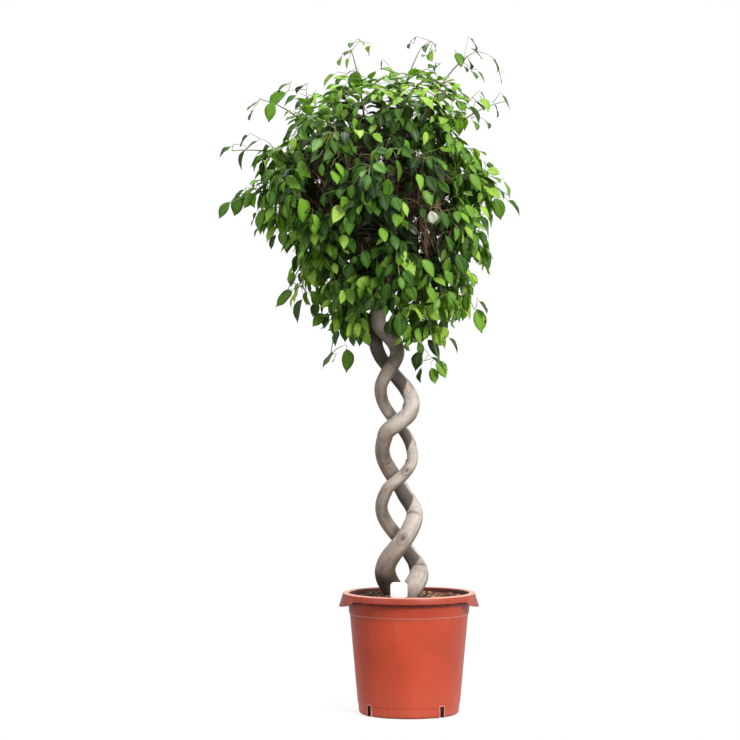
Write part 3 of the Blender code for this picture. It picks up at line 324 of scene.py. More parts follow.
# Dry twigs without leaves on the crown's front: middle of their patch and its reach
DRY_MIDDLE = Vector((0.056, -0.190, 1.190))
DRY_REACH = Vector((0.024, 0.040, 0.064))
DRY_TWIGS = 34
DRY_STEPS = 8
# Side shoots: the box they end in, the first spacing tried, and where they are sparse, as (start, reach)
SHOOT_BOX = ((-0.42, 0.25), (-0.32, 0.32))
SHOOT_SPACING = 0.060
SHOOT_TRIES = 900
SHOOT_INNERMOST = 0.30
SHOOT_STEPS = 7
# Radii and ages of the shoots' stems, each from its root to its end; an age of 0 is brown and 1 green
SPRAY_RADII = (0.0026, 0.0011)
SPRAY_AGES = (0.15, 0.95)
SHOOT_RADII = (0.0014, 0.0007)
SHOOT_AGES = (0.35, 0.95)
LOOSE_RADII = (0.0010, 0.0005)
LOOSE_AGES = (0.45, 0.95)
DRY_RADII = (0.0011, 0.00038)
DRY_AGES = (0.05, 0.37)
INNER_TWIG_RADII = (0.0009, 0.0020)
INNER_TWIG_TAPER = 0.46
SPARSE_TOP = (1.50, 0.08)
SPARSE_FOOT = (1.12, -0.08)
SPRAY_STEPS = 14
INNER_TWIG_TOP = 1.440
INNER_TWIG_STEPS = 6
# The gap below the crown's middle, where the stems show
CLEAR_BELOW = 1.045
CLEAR_MIDDLE = -0.062
CLEAR_HALF_WIDTH = 0.047

# Leaf: half widths along the blade as shares, from the stalk to the drawn-out tip
LEAF_OUTLINE = (
    (0.0, 0.0), (0.06, 0.36), (0.17, 0.74), (0.32, 0.97), (0.48, 1.0), (0.64, 0.84), (0.77, 0.55),
    (0.88, 0.20), (1.0, 0.0),
)
LEAF_ACROSS = (-1.0, -0.5, 0.0, 0.5, 1.0)
LEAF_THICKNESS = 0.00045
# What differs from leaf to leaf, as (least, most) or as a reach to both sides
LEAF_FOLD = (0.10, 0.42)
LEAF_CURL = (0.05, 0.30)
LEAF_DROOP = (0.02, 0.12)
LEAF_WAVE = (0.0, 0.05)
LEAF_TWIST = (-0.35, 0.35)
LEAF_SIZE = (0.74, 1.14)
LEAF_BREADTH = (0.88, 1.12)
LOOSE_BREADTH = (0.95, 1.10)
STALK_LENGTH = (0.7, 1.2)
HANG = (0.35, 1.7)
OUTWARD_TURN = (0.0, 0.5)
HEADING_SCATTER = 0.38
FACING_SCATTER = 0.75
# Where leaves differ, as (start, reach): high in the crown, inside it, at a shoot's end and near its outline
HIGH_LEAVES = (0.16, 0.16)
SHADED_INNER_LEAVES = (0.95, -0.35)
END_LEAVES = (0.6, 0.4)
EDGE_SIDES = (0.50, 0.40)
EDGE_TOP = (1.44, 0.12)
EDGE_FOOT = (1.16, -0.12)
# Painted light on the leaves by height: a band of painted shade, and painted light at the crown's foot and
# top
SHADED_BAND_FOOT = (1.29, 0.05)
SHADED_BAND_TOP = (1.51, -0.05)
LIT_FOOT = (1.18, -0.06)
LIT_TOP = (1.50, 0.05)
TINT_SPREAD = 0.18
NEW_SHARE = 0.10
NEW_TINTS = (0.72, 1.0)
STALK_SHARE = 0.22
STALK_RADII = (0.00075, 0.00055, 0.0005)
STALK_AGES = (0.7, 0.85, 0.95)
SEED = 7

# Stage: the camera and what it looks at, the lights, and the way that the soft light comes from
EYE = Vector((-0.0975, -7.0, 0.956))
AIM_HEIGHT = 0.8585
FOCAL_LENGTH = 136.2
SENSOR_WIDTH = 36.0
LIGHT_TARGET = (-0.06, 0.0, 0.95)
LIGHTS = (
    # name, place, size, colour
    ("key", (2.3, -3.7, 3.2), 1.4, (1.0, 0.985, 0.96)),
    ("fill", (-3.4, -2.6, 1.6), 2.2, (0.94, 0.97, 1.0)),
    ("top", (-0.5, 0.4, 4.4), 2.4, (1.0, 1.0, 1.0)),
)
BRIGHT_WAY = (0.38, 0.30, 0.88)
DARK_SHARE = 0.25
FLOOR_RADIUS = 0.6

# Zones on the pot of painted shade, of dust, and of painted highlight along the rim and the step: where each
# starts and ends, and how strong it is
INNER_TAPER = 0.107
INNER_WALL = (0.1200, 0.1207)
ABOVE_SOIL = (0.20, 0.22)
SHADE_UNDER_COLLAR = (COLLAR_BOTTOM - 0.014, COLLAR_BOTTOM - 0.006, 0.62)
UNDER_RIM = (POT_TOP - 0.0045, POT_TOP - 0.0035)
SHADE_ABOVE_STEP = (0.235, 0.250, 0.22)
BEHIND_COLLAR = (RIM_OUTER_RADIUS - 0.0040, RIM_OUTER_RADIUS - 0.0030)
SHADE_ON_COLLAR = (RIM_OUTER_RADIUS - 0.0040, RIM_OUTER_RADIUS - 0.0020, 0.36)
SHADE_AT_ENDS = (0.140, 0.170, 0.26)
SHADE_AT_LEFT = (-0.165, -0.120, 0.16)
SHADE_AT_RIGHT = (0.0, 0.125, 0.02, 0.22)
SHADE_AT_FOOT = (0.0015, 0.0040, 0.50)
DUST_AT_FOOT = (0.0, 0.10, 0.12)
RIM_HIGHLIGHT = (POT_TOP - 0.0024, POT_TOP - 0.0010, 0.72)
STEP_EDGE = STEP_HEIGHT + 0.0012
STEP_HIGHLIGHT = (0.0008, 0.0020, 0.42)
STEP_OUTSIDE = (STEP_RADIUS - 0.0010, STEP_RADIUS)
# The drainage slots' walls and lips: start and end beyond a slot's edge, strength, and radii
SLOT_WALLS = (0.0001, 0.0004, 0.97)
SLOT_WALL_RADII = (BASE_RADIUS - 0.0100, BASE_RADIUS - 0.0080)
LIP_EDGES = (SLOT_LIP, SLOT_LIP + 0.0006, 0.36)
LIP_RADII = (BASE_RADIUS - 0.0030, BASE_RADIUS - 0.0020)
# Soil on the label's foot, and painted shade on the chips on the left
SPLASHED = (SOIL_TOP, SOIL_TOP + 0.022, 0.75)
CHIP_SHADE_SIDE = (-0.080, -0.010, 0.85)

# Painted shade on the stems: the crown's shade, shadows beside the crossings, and brown painted shade on the
# side turned from the light and near the top; and a darker foot near the soil: (start, reach) by height or
# distance, and how strong
CROWN_SHADE = (0.830, 0.048)
CROWN_SHADE_DEPTH = 0.90
THICK_FOOT_SHADE = (0.375, -0.026)
THICK_FOOT_DEPTH = 0.97
THIN_LIGHTER = ((0.18, 0.925, 0.020), (0.46, 0.878, 0.018))
TOP_SHADE_BROWN = (0.855, 0.030)
TOP_SHADE_BROWN_DEPTH = 0.85
SHADED_SIDE_BROWN = (0.0225, -0.045)
RIGHT_SIDE = (-0.020, 0.016)
BEHIND_AXIS = (-0.006, 0.012)
SHADOW_TURN = (-0.013, 0.031)
RIGHT_SHADOW_DEPTH = 0.92
LEFT_SHADOW_DEPTH = 0.42
LEFT_SHADOW = (-0.15, 0.60)
DARK_FOOT = (SOIL_TOP + 0.036, -0.030)
DARK_FOOT_DEPTH = 0.72

# Colours that belong to the finishes and aren't settings
PLASTIC_DUST = (0.62, 0.42, 0.34)
SCUFFED_PLASTIC = (0.72, 0.30, 0.20)
PLASTIC_SHADE = (0.085, 0.012, 0.010)
PALE_EDGE_AND_HIGHLIGHT = (0.88, 0.45, 0.35)
SLOT_SHADOW = (0.020, 0.008, 0.006)
PEAT_FIBRE = (0.34, 0.19, 0.10)
OLD_CHIP = (0.115, 0.048, 0.022)
RED_CHIP = (0.270, 0.105, 0.042)
FRESH_CHIP = (0.60, 0.42, 0.25)
CHIP_SHADE_TINT = (0.30, 0.26, 0.25)
LABEL_SOIL = (0.22, 0.13, 0.08)
WARM_PATCH = (0.350, 0.225, 0.130)
PALE_MARK = (0.66, 0.60, 0.55)
BARK_UNDERSIDE_SHADE = (0.150, 0.105, 0.062)
BARK_FOLD = (0.070, 0.032, 0.016)
BARK_SHADE = (0.062, 0.048, 0.038)
SHOOT_COLOURS = (
    (0.0, (0.105, 0.060, 0.036)), (0.28, (0.215, 0.128, 0.070)), (0.50, (0.160, 0.110, 0.052)),
    (0.75, (0.130, 0.160, 0.042)), (1.0, (0.180, 0.320, 0.060)),
)
SHOOT_SPECK = (0.05, 0.035, 0.022)
LEAF_MOTTLE_TINT = (1.35, 1.30, 1.2)
LEAF_RIB = (0.45, 0.62, 0.22)
LEAF_UNDERSIDE = (0.16, 0.26, 0.09)
INNER_LEAF_SHADE = (0.42, 0.42, 0.45)
LEAF_GLOW_TINT = (2.1, 1.7, 0.6)
WHITE = (1.0, 1.0, 1.0)


# Settings that a user would change
def colour_setting(name, text, default):
    """A colour."""
    return FloatVectorProperty(
        name=name, description=text, subtype="COLOR", size=3, min=0.0, max=1.0, default=default
    )


def length_setting(name, text, default):
    """A length in metres."""
    return FloatProperty(name=name, description=text, subtype="DISTANCE", unit="LENGTH", default=default)


def share_setting(name, text, low, default):
    """A share between a lower end and 1."""
    return FloatProperty(name=name, description=text, subtype="FACTOR", min=low, max=1.0, default=default)


def count_setting(name, text, default):
    """A number of like things."""
    return IntProperty(name=name, description=text, min=0, default=default)


def power_setting(name, default):
    """A light's power."""
    return FloatProperty(name=name, description="Watts", unit="POWER", default=default)


class FIG_PG_pot(bpy.types.PropertyGroup):
    """Colour and finish of the nursery pot."""

    colour: colour_setting("Plastic colour", "Colour of the moulded plastic", (0.56, 0.066, 0.024))
    roughness: share_setting("Roughness", "How dull the plastic is", 0.0, 0.40)


class FIG_PG_soil(bpy.types.PropertyGroup):
    """Make-up of the potting mix."""

    chips: count_setting("Bark chips", "Chips on the surface", 520)
    chip_size: length_setting("Chip size", "Usual length of a chip", 0.0105)
    dark: colour_setting("Peat colour", "Colour of the fine mix", (0.060, 0.028, 0.016))
    light: colour_setting("Chip colour", "Colour of the palest chips", (0.46, 0.25, 0.115))


class FIG_PG_label(bpy.types.PropertyGroup):
    """Colour of the blank plant label."""

    colour: colour_setting("Label colour", "Colour of the blank label", (0.93, 0.93, 0.92))


class FIG_PG_stems(bpy.types.PropertyGroup):
    """Bark of the wound stems."""

    light: colour_setting("Pale bark", "Colour of smooth, lit bark", (0.510, 0.446, 0.400))
    # Painted shade: this brown is laid on the stems' side away from the light and near the crown
    shaded_brown: colour_setting("Brown bark", "Colour of the weathered side", (0.270, 0.185, 0.125))
    dark: colour_setting("Dark bark", "Colour in folds and streaks", (0.110, 0.076, 0.056))
    unevenness: length_setting("Unevenness", "How far the bark swells and sinks", 0.0013)


class FIG_PG_leaves(bpy.types.PropertyGroup):
    """Number, size and colours of the leaves."""

    shoots: count_setting("Side shoots", "Leafy side shoots in the crown's body", 620)
    inner_twigs: count_setting("Inner twigs", "Bare brown twigs inside the crown", 900)
    length: length_setting("Leaf length", "Usual length of a full leaf's blade", 0.052)
    width: share_setting("Leaf width", "Width as a share of the length", 0.1, 0.575)
    spacing: length_setting("Leaf spacing", "Distance between leaves along a shoot", 0.0150)
    dark: colour_setting("Old leaf", "Colour of the darkest leaves", (0.016, 0.044, 0.007))
    middle: colour_setting("Full leaf", "Colour of most leaves", (0.052, 0.158, 0.010))
    bright: colour_setting("Young leaf", "Colour of bright leaves", (0.190, 0.398, 0.032))
    pale: colour_setting("New leaf", "Colour of the newest, yellow-green leaves", (0.335, 0.522, 0.080))
    faded: colour_setting("Faded leaf", "Colour of a dried leaf", (0.660, 0.760, 0.840))


class FIG_PG_stage(bpy.types.PropertyGroup):
    """Floor, light and camera."""

    key_power: power_setting("Key light", 270.0)
    fill_power: power_setting("Fill light", 26.0)
    top_power: power_setting("Top light", 120.0)
    sky: FloatProperty(name="Surroundings", description="Strength of the white room", default=1.1)
    floor: colour_setting("Floor", "Colour of the plain floor", (0.86, 0.86, 0.86))


# Shapes
def between(places, z):
    """Value at height z on a smooth curve through (height, value) places."""
    if z <= places[0][0]:
        return places[0][1]
    if z >= places[-1][0]:
        return places[-1][1]
    last = len(places) - 1
    i = next(k for k in range(last) if places[k + 1][0] >= z)
    (z0, v0), (z1, v1) = places[i], places[i + 1]

    def slope(k):
        """The curve's slope at a place; it ends level."""
        if k == last:
            return 0.0
        low, high = places[max(k - 1, 0)], places[k + 1]
        return (high[1] - low[1]) / (high[0] - low[0])

    t, span = (z - z0) / (z1 - z0), z1 - z0
    return (
        v0 * (1 + 2 * t) * (1 - t) ** 2
        + v1 * t * t * (3 - 2 * t)
        + span * slope(i) * t * (1 - t) ** 2
        - span * slope(i + 1) * t * t * (1 - t)
    )


def smooth_step(x):
    """Eases from 0 to 1."""
    x = min(max(x, 0.0), 1.0)
    return x * x * (3 - 2 * x)


def eased(value, start, reach):
    """Eases from 0 at the start to 1 a reach further on, or further back if the reach is below 0."""
    return smooth_step((value - start) / reach)


def arc(start, bend, end, count):
    """Points of a quadratic curve from start to end that heads for bend first."""
    return [
        start * (1 - t) ** 2 + bend * 2 * t * (1 - t) + end * t * t
        for t in (k / count for k in range(count + 1))
    ]


def evenly(first, last, steps):
    """Values from the first to the last in even steps."""
    return [first + (last - first) * k / steps for k in range(steps + 1)]


def random_vector(rng, reach):
    """A vector whose parts are each drawn between -reach and reach."""
    return Vector([rng.uniform(-reach, reach) for _ in range(3)])


def mesh_of(bm, name):
    """Turns a bmesh into a smooth-shaded mesh with its faces pointing out, and frees it."""
    bmesh.ops.recalc_face_normals(bm, faces=bm.faces)
    mesh = bpy.data.meshes.new(name)
    bm.to_mesh(mesh)
    bm.free()
    mesh.shade_smooth()
    return mesh


def placed(name, data):
    """A new object in the scene."""
    made = bpy.data.objects.new(name, data)
    bpy.context.scene.collection.objects.link(made)
    return made


def worked_out(made):
    """An object's mesh with its modifiers or its curve worked out."""
    graph = bpy.context.evaluated_depsgraph_get()
    graph.update()
    return bpy.data.meshes.new_from_object(made.evaluated_get(graph), depsgraph=graph)


def new_piece(name, mesh, materials, slot, *replaced):
    """A piece on the part's only body, with its materials and the nodes it stands for; its slot is not used.
    """
    piece = placed(name, mesh)
    for material in materials:
        mesh.materials.append(material)
    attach(piece, "root")
    if replaced:
        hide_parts(*replaced)
    return piece


def combined(piece, tools, operation):
    """The piece's mesh united with, or cut by, the tool objects, which are removed."""
    group = bpy.data.collections.new("tools")
    bpy.context.scene.collection.children.link(group)
    for tool in tools:
        group.objects.link(tool)
    boolean = piece.modifiers.new("Combine", "BOOLEAN")
    boolean.operation = operation
    boolean.operand_type = "COLLECTION"
    boolean.collection = group
    boolean.solver = "MANIFOLD"
    mesh = worked_out(piece)
    piece.modifiers.clear()
    piece.data = mesh
    for tool in tools:
        bpy.data.objects.remove(tool, do_unlink=True)
    bpy.data.collections.remove(group)
    return mesh


class Shape:
    """Collects vertices, faces, their materials and what each vertex carries, as one mesh."""

    def __init__(self, *carried):
        self.verts, self.faces, self.slots = [], [], []
        self.carried = {name: [] for name in carried}
        self.count = 0

    def add(self, verts, faces, slot, **carried):
        """Adds vertices (rows of three) and faces that count them from 0."""
        self.faces += [tuple(i + self.count for i in face) for face in faces]
        self.slots += [slot] * len(faces)
        self.verts.append(np.asarray(verts, float).reshape(-1, 3))
        self.count += len(self.verts[-1])
        for name, rows in self.carried.items():
            rows.append(np.asarray(carried[name], float).reshape(-1, 3))

    def mesh(self, name):
        """The mesh, shaded smooth, with what its vertices carry as vector attributes."""
        made = bpy.data.meshes.new(name)
        made.from_pydata(np.concatenate(self.verts).tolist(), [], self.faces)
        made.polygons.foreach_set("material_index", self.slots)
        for key, rows in self.carried.items():
            layer = made.attributes.new(key, "FLOAT_VECTOR", "POINT")
            layer.data.foreach_set("vector", np.concatenate(rows).astype(np.float32).ravel())
        made.shade_smooth()
        made.update()
        return made


def tube(points, radii, sides):
    """Vertices and faces of a tube with pointed ends through the points."""
    points = [Vector(p) for p in points]
    verts, faces = [points[0]], []
    side = None
    for k, (place, radius) in enumerate(zip(points, radii)):
        before, after = points[max(k - 1, 0)], points[min(k + 1, len(points) - 1)]
        along = (after - before).normalized()
        if side is None:
            side = along.orthogonal()
        side = (side - along * side.dot(along)).normalized()
        other = along.cross(side)
        for i in range(sides):
            turn = math.tau * i / sides
            verts.append(place + (side * math.cos(turn) + other * math.sin(turn)) * radius)
    verts.append(points[-1])
    end = 1 + (len(points) - 1) * sides
    for i in range(sides):
        j = (i + 1) % sides
        faces.append((0, 1 + j, 1 + i))
        for a in range(1, end, sides):
            faces.append((a + i, a + j, a + sides + j, a + sides + i))
        faces.append((len(verts) - 1, end + i, end + j))
    return verts, faces


# Nodes of the materials
def rgba(colour):
    """A colour with full cover; a socket stays as it is."""
    return colour if isinstance(colour, bpy.types.NodeSocket) else (*colour, 1.0)


def scaled(colour, share):
    """A colour made lighter or darker."""
    return [c * share for c in colour]


class Nodes:
    """The nodes of a material or of the surroundings; an input takes a value or a socket."""

    def __init__(self, owner, output="OutputMaterial"):
        owner.use_nodes = True
        self.owner, self.tree = owner, owner.node_tree
        self.tree.nodes.clear()
        self.output = self.add(output)

    def add(self, kind, inputs=None, **settings):
        """Adds a shader node."""
        made = self.tree.nodes.new("ShaderNode" + kind)
        for name, value in settings.items():
            setattr(made, name, value)
        for name, value in (inputs or {}).items():
            if isinstance(value, bpy.types.NodeSocket):
                self.tree.links.new(value, made.inputs[name])
            else:
                made.inputs[name].default_value = value
        return made

    def finished(self, shader):
        """The owner with this shader as its surface."""
        self.tree.links.new(shader, self.output.inputs["Surface"])
        return self.owner

    def math(self, operation, first, *others):
        """A sum on numbers or sockets, taken one after the other."""
        for other in others or (0.0,):
            first = self.add("Math", {0: first, 1: other}, operation=operation).outputs[0]
        return first

    def product(self, *values):
        """The values multiplied."""
        return self.math("MULTIPLY", *values)

    def largest(self, *values):
        """The largest of the values."""
        return self.math("MAXIMUM", *values)

    def ranged(self, value, low, high, new_low=0.0, new_high=1.0):
        """Maps a value from one range to another, held at its ends."""
        inputs = {
            "Value": value, "From Min": low, "From Max": high, "To Min": new_low, "To Max": new_high,
        }
        return self.add("MapRange", inputs, clamp=True).outputs["Result"]

    def rising(self, value, low, high, strength=1.0):
        """Rises from 0 to a strength over a range."""
        return self.ranged(value, low, high, 0.0, strength)

    def falling(self, value, low, high, strength=1.0):
        """Falls from a strength to 0 over a range."""
        return self.ranged(value, low, high, strength, 0.0)

    def blended(self, cover, colour, over, kind="MIX"):
        """Lays one colour over another, or multiplies them."""
        inputs = {0: cover, 6: rgba(colour), 7: rgba(over)}
        return self.add("Mix", inputs, data_type="RGBA", blend_type=kind).outputs[2]

    def tinted(self, colour, tint):
        """A colour multiplied by a tint."""
        return self.blended(1.0, colour, tint, "MULTIPLY")

    def layered(self, colour, *layers):
        """A colour under layers, each a cover and its colour."""
        for cover, over in layers:
            colour = self.blended(cover, colour, over)
        return colour

    def ramp(self, factor, stops):
        """Colour by a number, through (place, colour) stops."""
        made = self.add("ValToRGB", {"Fac": factor})
        elements = made.color_ramp.elements
        while len(elements) < len(stops):
            elements.new(0.5)
        for element, (place, colour) in zip(elements, stops):
            element.position = place
            element.color = rgba(colour)
        return made.outputs["Color"]

    def place(self):
        """The place on the object, in metres."""
        return self.add("TexCoord").outputs["Object"]

    def carried(self, name):
        """What the mesh's vertices carry under a name."""
        return self.add("Attribute", attribute_name=name).outputs["Vector"]

    def parts(self, vector):
        """The X, Y and Z of a vector."""
        return self.add("SeparateXYZ", {"Vector": vector}).outputs[:]

    def vector_math(self, operation, *vectors):
        """What a sum on vectors gives: a vector, or a number."""
        made = self.add("VectorMath", dict(enumerate(vectors)), operation=operation)
        return made.outputs["Value" if operation in ("LENGTH", "DOT_PRODUCT") else "Vector"]

    def grain(self, place, scale, detail=4.0, roughness=0.55, distortion=0.0):
        """Smooth noise with a number of waves in a metre, or one such number for each axis."""
        if isinstance(scale, tuple):
            place = self.add("Mapping", {"Vector": place, "Scale": scale}).outputs["Vector"]
            scale = 1.0
        inputs = {
            "Vector": place, "Scale": scale, "Detail": detail, "Roughness": roughness,
            "Distortion": distortion,
        }
        return self.add("TexNoise", inputs).outputs["Fac"]

    def bumped(self, height, distance, strength=1.0, normal=None):
        """A normal raised by a height."""
        inputs = {"Height": height, "Distance": distance, "Strength": strength}
        if normal is not None:
            inputs["Normal"] = normal
        return self.add("Bump", inputs).outputs["Normal"]

    def skin(self, colour, roughness, normal=None, specular=0.5):
        """A surface that is neither metal nor glass."""
        inputs = {"Base Color": rgba(colour), "Roughness": roughness, "Specular IOR Level": specular}
        if normal is not None:
            inputs["Normal"] = normal
        return self.add("BsdfPrincipled", inputs).outputs["BSDF"]


# Finishes
def pot_painted_shade(nodes, across, height, radius):
    """How much painted shade the pot gets: inside its rim, under its collar, at its foot and on its sides.
    """
    inside = nodes.math("SUBTRACT", radius, nodes.product(height, INNER_TAPER))
    inside = nodes.product(nodes.falling(inside, *INNER_WALL), nodes.ranged(height, *ABOVE_SOIL))
    under = nodes.product(nodes.rising(height, *SHADE_UNDER_COLLAR), nodes.falling(height, *UNDER_RIM))
    shaded = nodes.rising(height, *SHADE_ABOVE_STEP)
    under = nodes.product(nodes.largest(under, shaded), nodes.falling(radius, *BEHIND_COLLAR))
    ends = nodes.rising(nodes.math("ABSOLUTE", across), *SHADE_AT_ENDS)
    collar = nodes.math("ADD", nodes.rising(radius, *SHADE_ON_COLLAR), ends)
    sides = nodes.math(
        "ADD", nodes.falling(across, *SHADE_AT_LEFT), nodes.ranged(across, *SHADE_AT_RIGHT)
    )
    return nodes.largest(sides, collar, nodes.falling(height, *SHADE_AT_FOOT), under, inside)


def round_slots(nodes, place, height, radius, edges, radii):
    """The drainage slots and their surroundings out to an edge, on the pot's outside."""
    first_slot = (0, 0, -math.radians(SLOT_ANGLES[0]))
    turned = nodes.add("Mapping", {"Vector": place, "Rotation": first_slot}).outputs["Vector"]
    off = nodes.math("MINIMUM", *[nodes.math("ABSOLUTE", part) for part in nodes.parts(turned)[:2]])
    near, far, strength = edges
    beside = nodes.falling(off, SLOT_WIDTH / 2 + near, SLOT_WIDTH / 2 + far, strength)
    low = nodes.falling(height, SLOT_TOP + near, SLOT_TOP + far)
    return nodes.product(beside, low, nodes.ranged(radius, *radii))


def pot_finish(settings):
    """Moulded terracotta-coloured plastic: satin, with dust, painted highlight along the rim and step, pale
    slot lips, and painted shade in its recesses and on its sides.
    """
    nodes = Nodes(bpy.data.materials.new("terracotta_plastic"))
    place = nodes.place()
    across, _depth, height = nodes.parts(place)
    radius = nodes.vector_math("LENGTH", nodes.vector_math("MULTIPLY", place, (1, 1, 0)))
    cloud = nodes.grain(place, 9.0, 3.0)
    flow = nodes.grain(place, (60.0, 60.0, 5.0), 3.0)
    speck = nodes.grain(place, 420.0, 2.0)
    scuff = nodes.grain(place, (24.0, 24.0, 150.0), 4.0, 0.7)
    pale = [min(c * 1.15 + 0.045, 1.0) for c in settings.colour]
    dust = nodes.product(nodes.ranged(speck, 0.40, 0.75), nodes.falling(height, *DUST_AT_FOOT))
    off_step = nodes.math("ABSOLUTE", nodes.math("SUBTRACT", height, STEP_EDGE))
    # Painted highlight on the rim's top and the step's edge, with the slot lips paled in the same colour
    pale_lips_and_highlight = nodes.largest(
        nodes.rising(height, *RIM_HIGHLIGHT),
        round_slots(nodes, place, height, radius, LIP_EDGES, LIP_RADII),
        nodes.product(nodes.falling(off_step, *STEP_HIGHLIGHT), nodes.ranged(radius, *STEP_OUTSIDE)),
    )
    colour = nodes.layered(
        scaled(settings.colour, 0.86),
        (nodes.ranged(cloud, 0.35, 0.65), settings.colour),
        (nodes.rising(flow, 0.55, 0.80, 0.28), pale),
        (dust, PLASTIC_DUST),
        (nodes.rising(scuff, 0.66, 0.78, 0.22), SCUFFED_PLASTIC),
        # Painted shade inside the rim, under the collar, on the collar and grips, down the sides and at the
        # foot
        (pot_painted_shade(nodes, across, height, radius), PLASTIC_SHADE),
        (pale_lips_and_highlight, PALE_EDGE_AND_HIGHLIGHT),
        (round_slots(nodes, place, height, radius, SLOT_WALLS, SLOT_WALL_RADII), SLOT_SHADOW),
    )
    rough = nodes.ranged(cloud, 0.3, 0.7, settings.roughness - 0.05, settings.roughness + 0.07)
    relief = nodes.bumped(nodes.grain(place, 1100.0, 2.0), 0.00008, 0.5)
    return nodes.finished(nodes.skin(colour, rough, relief))


def soil_finish(settings):
    """Damp, crumbly peat with paler fibres."""
    nodes = Nodes(bpy.data.materials.new("peat"))
    place = nodes.place()
    crumbs = nodes.grain(place, 260.0, 6.0, 0.7)
    fibres = nodes.grain(place, (900.0, 120.0, 900.0), 3.0, 0.6, 1.5)
    colour = nodes.layered(
        scaled(settings.dark, 0.35),
        (nodes.ranged(crumbs, 0.35, 0.65), scaled(settings.dark, 2.2)),
        (nodes.rising(fibres, 0.62, 0.74, 0.7), PEAT_FIBRE),
    )
    return nodes.finished(nodes.skin(colour, 0.92, nodes.bumped(crumbs, 0.0016)))


def chip_finish(settings):
    """Broken pine bark: each chip has its own brown and layers along it; those on the left are darkened as
    painted shade.
    """
    nodes = Nodes(bpy.data.materials.new("bark_chip"))
    place = nodes.place()
    layers = nodes.grain(place, (320.0, 320.0, 900.0), 5.0, 0.65)
    own = nodes.ramp(nodes.parts(nodes.carried("chip"))[0], (
        (0.0, scaled(settings.dark, 0.8)), (0.35, OLD_CHIP), (0.62, RED_CHIP), (0.85, settings.light),
        (1.0, FRESH_CHIP),
    ))
    colour = nodes.blended(nodes.falling(layers, 0.30, 0.70, 0.35), own, settings.dark)
    left_shade = nodes.falling(nodes.parts(place)[0], *CHIP_SHADE_SIDE)
    colour = nodes.blended(left_shade, colour, nodes.tinted(colour, CHIP_SHADE_TINT))
    return nodes.finished(nodes.skin(colour, 0.85, nodes.bumped(layers, 0.0008)))


def label_finish(settings):
    """Matt white plastic with a trace of soil towards its foot."""
    nodes = Nodes(bpy.data.materials.new("label_plastic"))
    place = nodes.place()
    splash = nodes.ranged(nodes.grain(place, 240.0, 4.0, 0.65), 0.55, 0.70)
    low = nodes.falling(nodes.parts(place)[2], *SPLASHED)
    colour = nodes.blended(nodes.product(splash, low), settings.colour, LABEL_SOIL)
    relief = nodes.bumped(nodes.grain(place, 900.0, 2.0), 0.00005, 0.5)
    return nodes.finished(nodes.skin(colour, 0.42, relief))


def bark_finish(settings):
    """Smooth grey-beige fig bark: long streaks, short cross marks, warm patches, dark knots and a darker
    foot, with painted shade in its creases, on its undersides, on the side turned from the light and under
    the crown.
    """
    nodes = Nodes(bpy.data.materials.new("fig_bark"))
    along = nodes.carried("grain")
    crease_shade_and_marks, shaded, painted_brown_shade = nodes.parts(nodes.carried("mark"))
    cloud = nodes.grain(along, 26.0, 4.0, 0.6)
    patch = nodes.grain(along, 11.0, 3.0)
    streak = nodes.grain(along, (230.0, 230.0, 16.0), 5.0, 0.65)
    cross_mark = nodes.grain(along, (150.0, 150.0, 620.0), 2.0, 0.5)
    middle = [0.5 * (a + b) for a, b in zip(settings.light, settings.dark)]
    underside_shade = nodes.vector_math("DOT_PRODUCT", nodes.add("NewGeometry").outputs["Normal"], UNDER_WAY)
    colour = nodes.layered(
        middle,
        (nodes.ranged(cloud, 0.34, 0.56), settings.light),
        (nodes.product(painted_brown_shade, nodes.ranged(cloud, 0.30, 0.62, 0.72, 0.38)), settings.shaded_brown),
        (nodes.rising(patch, 0.54, 0.68, 0.40), WARM_PATCH),
        (nodes.rising(streak, 0.50, 0.74, 0.60), settings.dark),
        (nodes.rising(cross_mark, 0.64, 0.71, 0.50), PALE_MARK),
        # Painted shade on the undersides
        (nodes.rising(underside_shade, 0.48, 0.85, 0.85), BARK_UNDERSIDE_SHADE),
        # Painted shade in the creases, with dark knots and a darker foot
        (crease_shade_and_marks, BARK_FOLD),
        (shaded, BARK_SHADE),
    )
    relief = nodes.bumped(cross_mark, 0.0005, 0.6, nodes.bumped(streak, 0.0009, 0.8))
    return nodes.finished(nodes.skin(colour, 0.74, relief))


def shoot_finish():
    """Slender shoots: green and smooth at their ends, brown where they are older."""
    nodes = Nodes(bpy.data.materials.new("shoot_bark"))
    _across, age, _other = nodes.parts(nodes.carried("blade"))
    specks = nodes.grain(nodes.place(), 700.0, 3.0)
    colour = nodes.ramp(age, SHOOT_COLOURS)
    colour = nodes.blended(nodes.rising(specks, 0.45, 0.7, 0.4), colour, SHOOT_SPECK)
    return nodes.finished(nodes.skin(colour, 0.55, nodes.bumped(specks, 0.0002)))


